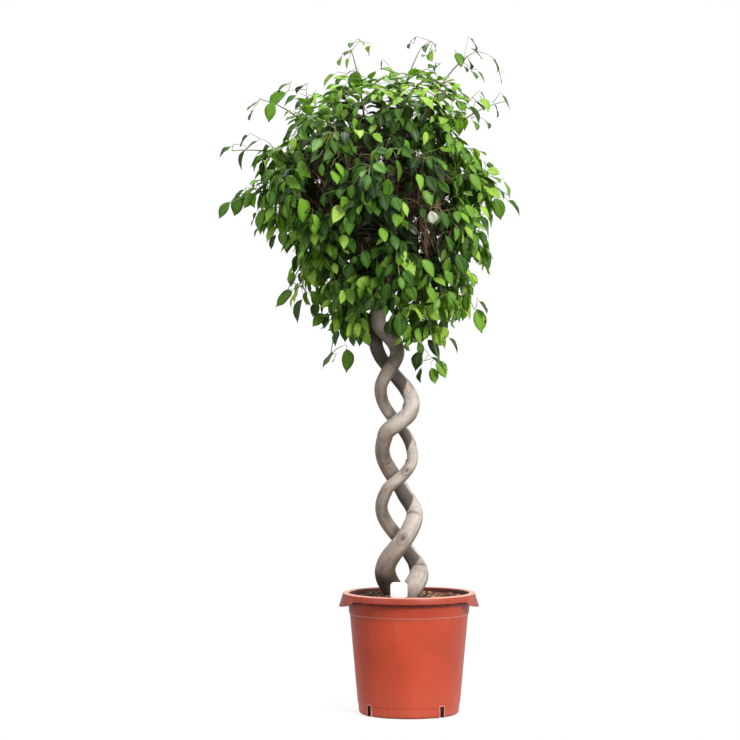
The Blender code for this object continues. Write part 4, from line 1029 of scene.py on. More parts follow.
def leaf_finish(settings):
    """Glossy leaves: each with its own green, a pale midrib, fine side veins, a duller underside, and
    painted shade on those inside the crown.
    """
    nodes = Nodes(bpy.data.materials.new("fig_leaf"))
    across, up_blade, _other = nodes.parts(nodes.carried("blade"))
    across = nodes.math("ABSOLUTE", across)
    tint, under, inner = nodes.parts(nodes.carried("own"))
    newest, veins, vein_slant = 0.77, 15.0, 3.2
    colour = nodes.ramp(nodes.product(tint, newest), (
        (0.0, settings.dark), (0.32, settings.middle), (0.60, settings.bright), (newest, settings.pale),
        (1.0, settings.faded),
    ))
    mottle = nodes.rising(nodes.grain(nodes.place(), 120.0, 3.0), 0.35, 0.70, 0.6)
    colour = nodes.blended(mottle, colour, nodes.tinted(colour, LEAF_MOTTLE_TINT))
    lines = nodes.math("SUBTRACT", nodes.product(up_blade, veins), nodes.product(across, vein_slant))
    vein = nodes.falling(nodes.math("PINGPONG", lines, 0.5), 0.0, 0.13)
    ribs = nodes.largest(
        nodes.product(vein, 0.28), nodes.product(nodes.falling(across, 0.02, 0.09), 0.6)
    )
    colour = nodes.blended(ribs, colour, nodes.blended(0.45, colour, LEAF_RIB))
    colour = nodes.blended(under, colour, nodes.blended(0.35, colour, LEAF_UNDERSIDE))
    # Painted shade on the leaves inside the crown
    colour = nodes.blended(inner, colour, nodes.tinted(colour, INNER_LEAF_SHADE))
    relief = nodes.bumped(nodes.math("SUBTRACT", 1.0, ribs), 0.0004, 0.7)
    shine = nodes.skin(colour, nodes.ranged(under, 0.0, 1.0, 0.36, 0.55), relief, 0.32)
    glow = nodes.add("BsdfTranslucent", {"Color": nodes.tinted(colour, LEAF_GLOW_TINT)}).outputs["BSDF"]
    return nodes.finished(nodes.add("MixShader", {0: 0.38, 1: shine, 2: glow}).outputs["Shader"])


def floor_finish(settings):
    """A plain pale floor that fades out into the white room."""
    nodes = Nodes(bpy.data.materials.new("floor"))
    fade = nodes.ranged(nodes.vector_math("LENGTH", nodes.place()), 0.10, 0.42, 0.68, 1.0)
    clear = nodes.add("BsdfTransparent").outputs["BSDF"]
    shader = nodes.add("MixShader", {0: fade, 1: nodes.skin(settings.floor, 0.9), 2: clear})
    return nodes.finished(shader.outputs["Shader"])


# Pot
def outer_radius(z):
    """Outer radius of the pot's plain wall at height z."""
    return BASE_RADIUS + (STEP_RADIUS - BASE_RADIUS) * z / STEP_HEIGHT


def filleted(corners):
    """A line of (radius, height) points with each (r, z, rounding) corner drawn as a small arc."""
    line = []
    for k, (r, z, rounding) in enumerate(corners):
        here = Vector((r, z))
        if not rounding:
            line.append(here)
            continue
        before = Vector(corners[k - 1][:2]) - here
        after = Vector(corners[k + 1][:2]) - here
        reach = min(rounding, before.length * 0.45, after.length * 0.45)
        line += arc(here + before.normalized() * reach, here, here + after.normalized() * reach, 4)
    return line


def pot_section(turn):
    """Outline of the pot's wall at an angle from +X: down where a grip is, plain elsewhere."""
    off_grip = abs((turn + 90) % 180 - 90) - GRIP_HALF_ANGLE
    grip = smooth_step(0.5 - off_grip / (2 * GRIP_BLEND_ANGLE))
    lobe = 1 - GRIP_LOBE * min(1.0, (off_grip + GRIP_HALF_ANGLE) / GRIP_HALF_ANGLE) ** 2
    skirt = COLLAR_BOTTOM + (GRIP_BOTTOM - COLLAR_BOTTOM) * grip * lobe
    plain = RIM_OUTER_RADIUS + COLLAR_FLARE
    reach = plain + (GRIP_REACH - plain) * grip
    waist = RIM_OUTER_RADIUS + COLLAR_FLARE * 0.6
    waist_height = COLLAR_BOTTOM + 0.009
    bead_foot = POT_TOP - RIM_BEAD
    under_rim = POT_TOP - RIM_THICKNESS
    ring = FOOT_RADIUS - FOOT_RING_WIDTH
    band = FOOT_BAND_DEPTH * 2 / 3
    inner = outer_radius(FLOOR_TOP) - POT_WALL
    return filleted((
        # radius, height, rounding
        (0.0, FLOOR_TOP, 0),
        (inner, FLOOR_TOP, 0.006),
        (STEP_RADIUS - POT_WALL, STEP_HEIGHT, 0.002),
        (RIM_INNER_RADIUS - 0.0010, POT_TOP - 0.0025, 0.001),
        (RIM_INNER_RADIUS, POT_TOP, 0.0009),
        (RIM_INNER_RADIUS + 0.0022, POT_TOP, 0.0005),
        (RIM_INNER_RADIUS + 0.0030, bead_foot, 0.0005),
        (RIM_OUTER_RADIUS - 0.0034, bead_foot, 0.0005),
        (RIM_OUTER_RADIUS - 0.0028, POT_TOP, 0.0006),
        (RIM_OUTER_RADIUS, POT_TOP - 0.0008, 0.0040),
        (waist, waist_height, 0.003),
        (reach, skirt, 0.0009),
        (reach - COLLAR_WALL, skirt, 0.0009),
        (waist - COLLAR_WALL, waist_height, 0.003),
        (RIM_OUTER_RADIUS - COLLAR_WALL, under_rim, 0.0015),
        (RIM_INNER_RADIUS + POT_WALL, under_rim, 0.0015),
        (STEP_RADIUS + STEP_DEPTH, STEP_HEIGHT + STEP_DEPTH, 0.0007),
        (STEP_RADIUS, STEP_HEIGHT, 0.0007),
        (outer_radius(FOOT_BAND_TOP) + FOOT_BAND_DEPTH / 3, FOOT_BAND_TOP, 0.0009),
        (outer_radius(FOOT_BAND_TOP) - band, FOOT_BAND_TOP - FOOT_BAND_DEPTH, 0.0009),
        (outer_radius(FOOT_CORNER) - band, FOOT_CORNER, 0.0035),
        (FOOT_RADIUS, 0.0, 0.0012),
        (ring, 0.0, 0.0010),
        (ring - UNDERSIDE_RECESS, UNDERSIDE_RECESS, 0.0010),
        (CENTRE_DISC_RADIUS + UNDERSIDE_RECESS, UNDERSIDE_RECESS, 0.0010),
        (CENTRE_DISC_RADIUS, 0.0, 0.0008),
        (0.0, 0.0, 0),
    ))


def turned_mesh(name, section, count):
    """Sweeps the section round +Z; it may change with the angle, but not its number of points."""
    bm = bmesh.new()
    rings = []
    for k in range(count):
        turn = 360 * k / count
        c, s = math.cos(math.radians(turn)), math.sin(math.radians(turn))
        rings.append([bm.verts.new((p.x * c, p.x * s, p.y)) for p in section(turn)])
    for a, b in zip(rings, rings[1:] + rings[:1]):
        for i in range(len(a) - 1):
            bm.faces.new((a[i], b[i], b[i + 1], a[i + 1]))
    bmesh.ops.remove_doubles(bm, verts=bm.verts, dist=1e-6)
    return mesh_of(bm, name)


def prism(name, corners, way, turn):
    """A closed prism from a flat outline, turned about +Z, that cuts or joins the pot."""
    bm = bmesh.new()
    face = bm.faces.new([bm.verts.new(corner) for corner in corners])
    grown = bmesh.ops.extrude_face_region(bm, geom=[face])["geom"]
    moved = [v for v in grown if isinstance(v, bmesh.types.BMVert)]
    bmesh.ops.translate(bm, vec=way, verts=moved)
    bmesh.ops.rotate(bm, cent=(0, 0, 0), matrix=Matrix.Rotation(turn, 3, "Z"), verts=bm.verts)
    return bpy.data.objects.new(name, mesh_of(bm, name))


def arched_block(name, width, bottom, top, near, far, angle):
    """A block with a rounded top between two distances from the pot's axis."""
    half = width / 2
    corners = [(-half, -near, bottom), (half, -near, bottom)]
    for k in range(ARCH_STEPS + 1):
        turn = math.pi * k / ARCH_STEPS
        corners.append((half * math.cos(turn), -near, top - half + half * math.sin(turn)))
    return prism(name, corners, (0, near - far, 0), math.radians(angle))


def web(number):
    """A thin web between the wall and the collar, with its lower edge sloping in to the wall."""
    inside, outside = RIM_INNER_RADIUS - 0.0008, RIM_OUTER_RADIUS - 0.0012
    top = POT_TOP - RIM_THICKNESS / 2
    corners = (
        (inside, top), (outside, top), (outside, COLLAR_BOTTOM - 0.0006), (inside, COLLAR_BOTTOM - WEB_DROP)
    )
    corners = [(r, -WEB_WIDTH / 2, z) for r, z in corners]
    return prism(f"web_{number}", corners, (0, WEB_WIDTH, 0), math.tau * (number + 0.5) / WEBS)


def build_pot(settings):
    """The pot: wall, rim, collar with grips and webs, and four lipped drainage slots."""
    piece = placed("pot_blank", turned_mesh("pot_moulding", pot_section, POT_STEPS))
    combined(piece, [web(k) for k in range(WEBS)], "UNION")
    inside, outside = FOOT_RADIUS - FOOT_RING_WIDTH - 0.006, BASE_RADIUS + 0.010
    lip_outside = outer_radius(SLOT_TOP / 2) + SLOT_LIP_RISE
    lip = (SLOT_WIDTH + 2 * SLOT_LIP, LIP_BOTTOM, SLOT_TOP + SLOT_LIP, lip_outside - LIP_DEPTH, lip_outside)
    slot = (SLOT_WIDTH, SLOT_BOTTOM, SLOT_TOP, inside, outside)
    combined(piece, [arched_block(f"lip_{angle}", *lip, angle) for angle in SLOT_ANGLES], "UNION")
    slots = [arched_block(f"slot_{angle}", *slot, angle) for angle in SLOT_ANGLES]
    mesh = combined(piece, slots, "DIFFERENCE")
    bpy.data.objects.remove(piece, do_unlink=True)
    mesh.materials.clear()
    mesh.shade_smooth()
    mesh.set_sharp_from_angle(angle=math.radians(POT_SHARP_ANGLE))
    new_piece("pot_moulding", mesh, [pot_finish(settings)], "terracotta_plastic", "pot")


# Soil and label
def soil_height(x, y):
    """Height of the potting mix's surface at a place."""
    fine = noise.noise(Vector((x, y, 0.5)) * 140) * 0.0016
    finer = noise.noise(Vector((x, y, 0.9)) * 330) * 0.0009
    return SOIL_TOP + SOIL_LUMP * noise.noise(Vector((x, y, 0.1)) * 38) + fine + finer


def soil_section(_turn):
    """Outline of the soil in the pot: its flat surface, then the pot's inside down to the floor."""
    inner = outer_radius(FLOOR_TOP) - POT_WALL - SOIL_GAP
    foot = FLOOR_TOP + SOIL_GAP
    rim_share = (SOIL_TOP - STEP_HEIGHT) / (POT_TOP - 0.003 - STEP_HEIGHT)
    step_inside = STEP_RADIUS - POT_WALL
    edge = step_inside + (RIM_INNER_RADIUS - 0.0012 - step_inside) * rim_share - 2 * SOIL_GAP
    line = [Vector((edge * k / SOIL_RINGS, SOIL_TOP)) for k in range(SOIL_RINGS + 1)]
    below = ((step_inside - SOIL_GAP, STEP_HEIGHT), (inner, foot), (0.0, foot))
    return line + [Vector(corner) for corner in below]


def chip(rng, size):
    """Vertices and faces of one broken, flat chip of bark round the origin."""
    bm = bmesh.new()
    bmesh.ops.create_icosphere(bm, subdivisions=2, radius=0.5)
    shift = random_vector(rng, 9)
    proportions = Vector((1.0, rng.uniform(0.45, 0.85), rng.uniform(0.22, 0.45))) * size
    for v in bm.verts:
        squared = max(abs(v.co.x), abs(v.co.y), abs(v.co.z)) * 2
        blocky = v.co / squared ** 0.7
        ragged = blocky * (1 + 0.30 * noise.noise(blocky * 3.1 + shift))
        v.co = Vector(a * b for a, b in zip(ragged, proportions))
    verts, faces = [v.co.copy() for v in bm.verts], [[v.index for v in f.verts] for f in bm.faces]
    bm.free()
    return verts, faces


def build_soil(settings):
    """The potting mix and the chips that lie on it."""
    rng = random.Random(SEED)
    mesh = turned_mesh("potting_mix", soil_section, SOIL_STEPS)
    surface = [v for v in mesh.vertices if v.co.z > SOIL_TOP - 1e-5]
    edge = max(v.co.xy.length for v in surface)
    for v in surface:
        inward = edge - v.co.xy.length
        if inward > 1e-4:
            rise = soil_height(v.co.x, v.co.y) - SOIL_TOP
            v.co.z = SOIL_TOP + rise * min(1, inward / SOIL_EDGE_WIDTH)
    new_piece("potting_mix", mesh, [soil_finish(settings)], "potting_soil", "potting_soil")
    shape = Shape("chip")
    stems = [(stem_point(name, SOIL_TOP), stem_radius(name, SOIL_TOP)) for name in STEM_TOPS]
    for _ in range(settings.chips):
        size = settings.chip_size * rng.uniform(0.45, 1.0) ** 1.3 * rng.choice(CHIP_SIZES)
        out = CHIPS_REACH * math.sqrt(rng.random())
        turn = rng.uniform(0, math.tau)
        place = Vector((out * math.cos(turn), out * math.sin(turn), 0))
        verts, faces = chip(rng, size)
        spin = Matrix.Rotation(rng.uniform(0, math.tau), 3, "Z")
        pitch, roll = [Matrix.Rotation(rng.gauss(0, CHIP_TILT), 3, axis) for axis in "XY"]
        tint = rng.random() ** 1.1
        near_stem = any((place - p).xy.length < r + size * 0.3 for p, r in stems)
        if near_stem or out + size / 2 > CHIPS_REACH:
            continue
        place.z = soil_height(place.x, place.y) + size * rng.uniform(0.02, 0.16)
        verts = [place + spin @ pitch @ roll @ v for v in verts]
        shape.add(verts, faces, 0, chip=[(tint, 0, 0)] * len(verts))
    new_piece("bark_chips", shape.mesh("bark_chips"), [chip_finish(settings)], "potting_soil")


def label_outline():
    """Corners of the label as seen from the front: a pointed stake and a head with round corners."""
    half, stake, corner = LABEL_WIDTH / 2, LABEL_STAKE_WIDTH / 2, LABEL_CORNER
    outline = [
        (-stake, LABEL_POINT + LABEL_STAKE_WIDTH), (0.0, LABEL_POINT),
        (stake, LABEL_POINT + LABEL_STAKE_WIDTH), (stake, LABEL_SHOULDER),
        (half, LABEL_SHOULDER + corner / 2),
    ]
    for side, first in ((1, 0), (-1, 90)):
        for step in range(LABEL_CORNER_STEPS + 1):
            angle = math.radians(first + step * 90 / LABEL_CORNER_STEPS)
            x = side * (half - corner) + corner * math.cos(angle)
            outline.append((x, LABEL_TOP - corner + corner * math.sin(angle)))
    return outline + [(-half, LABEL_SHOULDER + corner / 2), (-stake, LABEL_SHOULDER)]


def build_label(settings):
    """The blank label: an upright plate with softened edges."""
    curve = bpy.data.curves.new("label_outline", "CURVE")
    curve.dimensions = "2D"
    curve.fill_mode = "BOTH"
    curve.extrude = LABEL_THICKNESS * 0.3
    curve.bevel_depth = LABEL_THICKNESS * 0.2
    curve.bevel_resolution = 2
    curve.offset = -curve.bevel_depth
    spline = curve.splines.new("POLY")
    outline = label_outline()
    spline.points.add(len(outline) - 1)
    spline.use_cyclic_u = True
    for point, (x, z) in zip(spline.points, outline):
        point.co = (x, z, 0.0, 1.0)
    helper = placed("label_outline", curve)
    bm = bmesh.new()
    bm.from_mesh(worked_out(helper))
    bpy.data.objects.remove(helper, do_unlink=True)
    bmesh.ops.remove_doubles(bm, verts=bm.verts, dist=1e-6)
    upright = Matrix.Rotation(math.radians(90), 3, "X")
    bmesh.ops.rotate(bm, cent=(0, 0, 0), matrix=upright, verts=bm.verts)
    bmesh.ops.translate(bm, vec=(*LABEL_PLACE, 0.0), verts=bm.verts)
    made = mesh_of(bm, "label_plate")
    made.set_sharp_from_angle(angle=math.radians(LABEL_SHARP_ANGLE))
    new_piece("label_plate", made, [label_finish(settings)], "label_plastic", "plant_label")


# Stems, limbs and twigs
def stem_point(name, z):
    """Middle of a stem at height z; below the soil it goes straight down."""
    thick = name == "stem_thick"
    height = max(z, STEM_STRAIGHT_TOP)
    angle = math.radians(between(WIND_ANGLES, height) + (0 if thick else 180))
    radius = between(WIND_RADII, height)
    sway = between(THICK_SWAY if thick else THIN_SWAY, height)
    x = between(AXIS_PLACES, height) + radius * math.sin(angle) + sway
    return Vector((x, -radius * math.cos(angle), z))


def stem_radius(name, z):
    """Radius of a stem at height z; it is constant where the stem stands in its hole."""
    height = max(z, STEM_STRAIGHT_TOP)
    return between(THICK_RADII if name == "stem_thick" else THIN_RADII, height)


def angle_gap(a, b):
    """The smaller angle between two directions, in degrees."""
    return abs((a - b + 180) % 360 - 180)


def bark_relief(name, z, turn, radius, along, unevenness):
    """How far the bark stands out at a place on a stem, and how dark it is there: painted shade along its
    creases, and its dark knots.
    """
    own = 0.0 if name == "stem_thick" else 5.0
    round_place = Vector((math.cos(turn), math.sin(turn), 0)) * radius
    rise = 0.0
    for waves_round, waves_along, share in BARK_WAVES:
        rise += noise.noise(round_place * waves_round + Vector((own, 0, along * waves_along))) * share
    rise *= unevenness
    dark = 0.0
    degrees = math.degrees(turn)
    for stem, height, facing, reach_round, reach_along, depth in CREASES:
        if stem == name and abs(z - height) < 6 * reach_along:
            side = smooth_step(1.6 - angle_gap(degrees, facing) / reach_round)
            wave = (z - height - 0.0015 * math.sin(turn * 2)) / reach_along
            rise += side * depth * (0.45 * math.exp(-(wave / 2.2) ** 2) - 1.35 * math.exp(-wave ** 2))
            # Painted shade in the crease's groove
            dark = max(dark, side * 0.75 * math.exp(-(wave * 1.1) ** 2))
    for stem, height, facing, size, depth in KNOTS:
        if stem == name and abs(z - height) < 3 * size:
            off = math.hypot(z - height, math.radians(angle_gap(degrees, facing)) * radius) / size
            rise += depth * (math.exp(-((off - 0.75) / 0.38) ** 2) - 1.1 * math.exp(-(off / 0.42) ** 2))
            ring = 0.30 * math.exp(-((off - 1.1) / 0.3) ** 2)
            dark = max(dark, 0.95 * math.exp(-(off / 0.60) ** 2), ring)
    return rise, dark


def stem_heights(name):
    """Heights of a stem's rings: closer together where the stems are wound and in sight."""
    heights = []
    z = STEM_BOTTOM
    while z < STEM_TOPS[name]:
        heights.append(z)
        z += STEM_STEP * (2.0 if z > WOUND_TOP or z < SOIL_TOP - 0.02 else 1.0)
    return heights + [STEM_TOPS[name]]


def crown_shade(name, z):
    """How dark a stem is at height z: in the crown's shade, and the thicker one near the soil."""
    shade = CROWN_SHADE_DEPTH * eased(z, *CROWN_SHADE)
    if name == "stem_thick":
        return max(shade, THICK_FOOT_DEPTH * eased(z, *THICK_FOOT_SHADE))
    return shade * (1 - sum(share * eased(z, start, reach) for share, start, reach in THIN_LIGHTER))


def add_stem(shape, name, unevenness):
    """One wound stem from its foot in the soil to its top in the crown."""
    heights = stem_heights(name)
    verts, grains, marks = [], [], []
    along = 0.0
    previous = stem_point(name, heights[0])
    for z in heights:
        middle = stem_point(name, z)
        heading = (stem_point(name, z + 0.002) - stem_point(name, z - 0.002)).normalized()
        along += (middle - previous).length
        previous = middle
        front = (FRONT - heading * FRONT.dot(heading)).normalized()
        side = heading.cross(front)
        radius = stem_radius(name, z)
        off_axis = middle.x - between(AXIS_PLACES, z)
        shade = crown_shade(name, z)
        # Brown painted shade on the side left of the axis and high up
        shaded_brown = max(eased(off_axis, *SHADED_SIDE_BROWN), TOP_SHADE_BROWN_DEPTH * eased(z, *TOP_SHADE_BROWN))
        # Darker towards the soil
        foot = DARK_FOOT_DEPTH * eased(z, *DARK_FOOT)
        to_right = eased(off_axis, *RIGHT_SIDE)
        behind = eased(middle.y, *BEHIND_AXIS)
        shaded_to = 1.6 * eased(middle.y, *SHADOW_TURN) - 1.0
        for k in range(STEM_SIDES):
            turn = math.tau * k / STEM_SIDES
            facing = math.atan2(-math.sin(turn), math.cos(turn))
            rise, dark = bark_relief(name, z, facing, radius, along, unevenness)
            out = front * math.cos(turn) + side * math.sin(turn)
            # Painted shadow beside the crossings, on the side turned from the light
            right_shadow = RIGHT_SHADOW_DEPTH * to_right * eased(out.x, shaded_to, -0.25)
            left_shadow = LEFT_SHADOW_DEPTH * behind * (1 - to_right) * eased(out.x, *LEFT_SHADOW)
            verts.append(middle + out * (radius + rise))
            grains.append((radius * math.cos(turn), radius * math.sin(turn), along))
            marks.append((max(dark, foot), max(shade, right_shadow, left_shadow), shaded_brown))
    faces = []
    for r in range(len(heights) - 1):
        for k in range(STEM_SIDES):
            a, b = r * STEM_SIDES + k, r * STEM_SIDES + (k + 1) % STEM_SIDES
            faces.append((a, b, b + STEM_SIDES, a + STEM_SIDES))
    top = (len(heights) - 1) * STEM_SIDES
    faces.append(tuple(range(STEM_SIDES))[::-1])
    faces.append(tuple(range(top, top + STEM_SIDES)))
    shape.add(verts, faces, 0, grain=grains, mark=marks)


def limbs_of(name):
    """(start, bend, end) of each limb of a stem, on the stem's own side of the crown."""
    side = 0 if name == "stem_thick" else 180
    found = []
    for k in range(LIMBS_PER_STEM):
        share = ((k + 1) * GOLDEN_SHARE + 0.25) % 1.0
        turn = math.radians(side + LIMB_SPREAD * (2 * share - 1))
        out = Vector((math.cos(turn), math.sin(turn), 0.0))
        start = stem_point(name, LIMB_LOWEST + LIMB_SPACING * k)
        bend = start + out * LIMB_REACH * LIMB_BEND[0] + UP * LIMB_RISE * LIMB_BEND[1]
        found.append((start, bend, start + out * LIMB_REACH + UP * LIMB_RISE))
    return found


def spray_tips():
    """Where the sprays end: spread over the crown by the golden angle, then those that reach past it."""
    tips = []
    for k in range(BODY_SPRAYS):
        sine = HIGHEST_SINE + (LOWEST_SINE - HIGHEST_SINE) * k / (BODY_SPRAYS - 1)
        level = math.sqrt(1 - sine * sine)
        turn = math.radians(GOLDEN_ANGLE * k)
        tall = CROWN_RISE if sine > 0 else CROWN_DROP
        tips.append(CROWN_MIDDLE + Vector((
            CROWN_HALF_WIDTH * level * math.cos(turn),
            CROWN_HALF_DEPTH * level * math.sin(turn),
            tall * sine,
        )))
    return tips + [Vector(tip) for tip in OUTER_SPRAY_TIPS]


def spray_start(number, tip):
    """Where a spray leaves its twig: the end of its solid that is nearest to the twig's place."""
    place = CROWN_MIDDLE.lerp(tip, LIMB_SHARE) + UP * LIMB_LIFT
    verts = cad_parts[f"leafy_spray_{number:02d}"].data.vertices
    nearest = sorted((v.co - place).length_squared for v in verts)[:3]
    reach = nearest[-1] + 1e-9
    corners = {tuple(round(c, 5) for c in v.co) for v in verts if (v.co - place).length_squared <= reach}
    return sum((Vector(c) for c in corners), Vector()) / len(corners)


def add_branch(shape, points, radii, sides, shade):
    """A limb or twig as a tube with its grain running along it."""
    verts, faces = tube(points, radii, sides)
    grains = [((v - points[0]).x, (v - points[0]).y, (v - points[0]).length) for v in verts]
    shape.add(verts, faces, 0, grain=grains, mark=[(0.0, shade, 0.0)] * len(verts))


def uneven(points, amount, rng):
    """The points of a branch with small random bends between its ends."""
    last = len(points) - 1
    return [p + random_vector(rng, amount) * (0 < k < last) for k, p in enumerate(points)]


def build_stems(settings):
    """Both stems, each with its limbs and the twigs that carry the sprays."""
    rng = random.Random(SEED + 1)
    shapes, carriers = {}, {}
    for name, top in STEM_TOPS.items():
        shapes[name] = Shape("grain", "mark")
        add_stem(shapes[name], name, settings.unevenness)
        for k, (start, bend, end) in enumerate(limbs_of(name)):
            points = uneven(arc(start, bend, end, LIMB_STEPS), LIMB_UNEVENNESS, rng)
            add_branch(shapes[name], points, evenly(*LIMB_RADII, LIMB_STEPS), LIMB_SIDES, LIMB_SHADE)
            carriers[name, k] = (points[-1], (points[-1] - points[-2]).normalized())
        carriers[name, "top"] = (stem_point(name, top), UP)
    for number, tip in enumerate(spray_tips(), 1):
        end = spray_start(number, tip)
        way = (tip - end).normalized()
        behind = end - way * TWIG_APPROACH
        key = min(carriers, key=lambda k: (carriers[k][0] - behind).length)
        place, heading = carriers[key]
        root = place - heading * TWIG_ROOT_DEPTH
        reach = (end - root).length * TWIG_BEND
        bend = (root + heading * reach).lerp(end - way * reach, 0.5)
        points = uneven(arc(root, bend, end, TWIG_STEPS), TWIG_UNEVENNESS, rng)
        add_branch(shapes[key[0]], points, evenly(*TWIG_RADII, TWIG_STEPS), TWIG_SIDES, TWIG_SHADE)
    finish = bark_finish(settings)
    for name, shape in shapes.items():
        new_piece(name + "_bark", shape.mesh(name + "_bark"), [finish], "bark", name)


# Leaves
def leaf_grid():
    """Shares (across, along) of a blade's vertices and its faces: the upper side, then the lower."""
    last_row = len(LEAF_OUTLINE) - 1
    last_column = len(LEAF_ACROSS) - 1
    places = [(0.0, 0, 0.0)]
    index = {(0, i, side): 0 for i in range(last_column + 1) for side in (0, 1)}
    for r in range(1, last_row):
        for side in (0, 1):
            for i, u in enumerate(LEAF_ACROSS):
                if side and i in (0, last_column):
                    index[r, i, 1] = index[r, i, 0]
                else:
                    index[r, i, side] = len(places)
                    places.append((u, r, float(side)))
    for i in range(last_column + 1):
        index[last_row, i, 0] = index[last_row, i, 1] = len(places)
    places.append((0.0, last_row, 0.0))
    faces = []
    for side in (0, 1):
        for r in range(last_row):
            for i in range(last_column):
                corners = ((r, i), (r, i + 1), (r + 1, i + 1), (r + 1, i))
                face = tuple(dict.fromkeys(index[row, column, side] for row, column in corners))
                if len(face) > 2:
                    faces.append(face[::-1] if side else face)
    return places, faces


LEAF_PLACES, LEAF_FACES = leaf_grid()
LEAF_U = np.array([u for u, _row, _under in LEAF_PLACES])
LEAF_T = np.array([LEAF_OUTLINE[row][0] for _u, row, _under in LEAF_PLACES])
LEAF_W = np.array([LEAF_OUTLINE[row][1] for _u, row, _under in LEAF_PLACES])
LEAF_UNDER = np.array([under for _u, _row, under in LEAF_PLACES])


def unit(v):
    """A vector of length one."""
    return v / max(np.linalg.norm(v), 1e-9)


def add_leaf(shape, root, heading, facing, length, width, tint, depth, rng):
    """One blade: folded along its midrib, curling down to its tip, with slightly waved margins."""
    heading = unit(np.array(heading))
    side = unit(np.cross(heading, np.array(facing)))
    up = np.cross(side, heading)
    fold = rng.uniform(*LEAF_FOLD)
    curl = rng.uniform(*LEAF_CURL)
    droop = rng.uniform(*LEAF_DROOP)
    wave = rng.uniform(*LEAF_WAVE)
    phase = rng.uniform(0, math.tau)
    twist = rng.uniform(*LEAF_TWIST)
    half = width / 2 * LEAF_W * LEAF_U
    rise = np.abs(half) * fold - curl * length * LEAF_T ** 2
    rise += wave * length * LEAF_U ** 2 * LEAF_W * np.sin(LEAF_T * 9 + phase + LEAF_U)
    rise += half * twist * LEAF_T
    rise -= LEAF_UNDER * LEAF_THICKNESS
    ahead = length * (LEAF_T - 0.12 * LEAF_T ** 3 * curl * 4)
    verts = (
        np.array(root)
        + np.outer(ahead, heading)
        + np.outer(half, side)
        + np.outer(rise, up)
        - np.outer(droop * length * LEAF_T ** 2, (0, 0, 1))
    )
    blade = np.stack([LEAF_U, LEAF_T, np.zeros(len(LEAF_T))], 1)
    own = np.stack([np.full(len(LEAF_T), tint), LEAF_UNDER, np.full(len(LEAF_T), depth)], 1)
    shape.add(verts, LEAF_FACES, 0, blade=blade, own=own)


def add_shoot_tube(shape, points, radii, sides, ages):
    """A shoot's stem; its age runs from brown, 0, to green, 1."""
    verts, faces = tube(points, radii, sides)
    rows = [ages[0]] + [a for a in ages for _ in range(sides)] + [ages[-1]]
    carried = [(0.0, a, 0.0) for a in rows]
    shape.add(verts, faces, 1, blade=carried, own=[(0.0, 0.0, 0.0)] * len(verts))


def add_tapered(shape, points, radii, ages, sides=4):
    """A shoot's stem that tapers and ages evenly from its root to its end."""
    steps = len(points) - 1
    add_shoot_tube(shape, points, evenly(*radii, steps), sides, evenly(*ages, steps))


def outline_at(z):
    """Middle and half width of the crown at a height."""
    left = between([(h, a) for h, a, b in OUTLINE], z)
    right = between([(h, b) for h, a, b in OUTLINE], z)
    return (left + right) / 2, (right - left) / 2


def outwardness(place):
    """How far out a place is in the crown: 0 on its axis and 1 on its outline."""
    if not CROWN_FOOT < place.z < CROWN_TOP:
        return 2.0
    middle, half = outline_at(place.z)
    level = math.hypot((place.x - middle) / half, place.y / (half * DEPTH_SHARE))
    upright = abs(place.z - (CROWN_FOOT + CROWN_TOP) / 2) / ((CROWN_TOP - CROWN_FOOT) / 2)
    return max(level, upright ** 3)


def in_thin_patch(place, front):
    """Whether a place is in one of the patches where the crown's front lets the inside show."""
    return place.y < front and any(
        math.hypot(place.x - x, place.z - z) < reach for x, z, reach in THIN_PATCHES
    )


def thinned(place, rng):
    """Whether a shoot is left out: below the crown's middle, and in the thin patches."""
    if place.z < CLEAR_BELOW and abs(place.x - CLEAR_MIDDLE) < CLEAR_HALF_WIDTH:
        return True
    return in_thin_patch(place, THIN_PATCH_FRONT) and rng.random() > THIN_PATCH_KEPT


def shoot_ends(count, rng):
    """Ends of the side shoots: evenly spread through the crown, closer together near its outline."""
    found = []
    spacing = SHOOT_SPACING
    while len(found) < count:
        for _ in range(SHOOT_TRIES):
            x, y = [rng.uniform(*ends) for ends in SHOOT_BOX]
            place = Vector((x, y, rng.uniform(CROWN_FOOT, CROWN_TOP)))
            out = outwardness(place)
            sparse = max(eased(place.z, *SPARSE_TOP) * 0.28, eased(place.z, *SPARSE_FOOT) * 0.34)
            if out > 1.0 or out < SHOOT_INNERMOST or rng.random() < sparse or thinned(place, rng):
                continue
            apart = spacing * (1.55 - 0.55 * out)
            if all((place - other).length > apart for other in found):
                found.append(place)
            if len(found) == count:
                break
        spacing *= 0.94
    return found


def near_edge(place):
    """How near a place is to the crown's outline as seen from the front: 0 in the middle and 1 near it."""
    middle, half = outline_at(place.z)
    sides = eased(abs(place.x - middle) / half, *EDGE_SIDES)
    return max(sides, eased(place.z, *EDGE_TOP), eased(place.z, *EDGE_FOOT))


def leaf_tint(rng, place, out):
    """Green of a leaf, from dark, 0, to new, 1: its own green at random and some new leaves, with painted
    light that makes it brightest on the crown's outside, sides, top and foot, and painted shade in a band.
    """
    band = eased(place.z, *SHADED_BAND_FOOT) * eased(place.z, *SHADED_BAND_TOP)
    low, top = eased(place.z, *LIT_FOOT), eased(place.z, *LIT_TOP)
    # Painted light towards the crown's outside and outline, foot and top; painted shade in the band
    usual = 0.28 * out ** 2 + 0.48 * near_edge(place) - 0.08 * band + 0.12 * low + 0.05 * top
    tint = rng.gauss(usual, TINT_SPREAD)
    if rng.random() < NEW_SHARE * out:
        tint = rng.uniform(*NEW_TINTS)
    return min(max(tint, 0.0), 1.0)


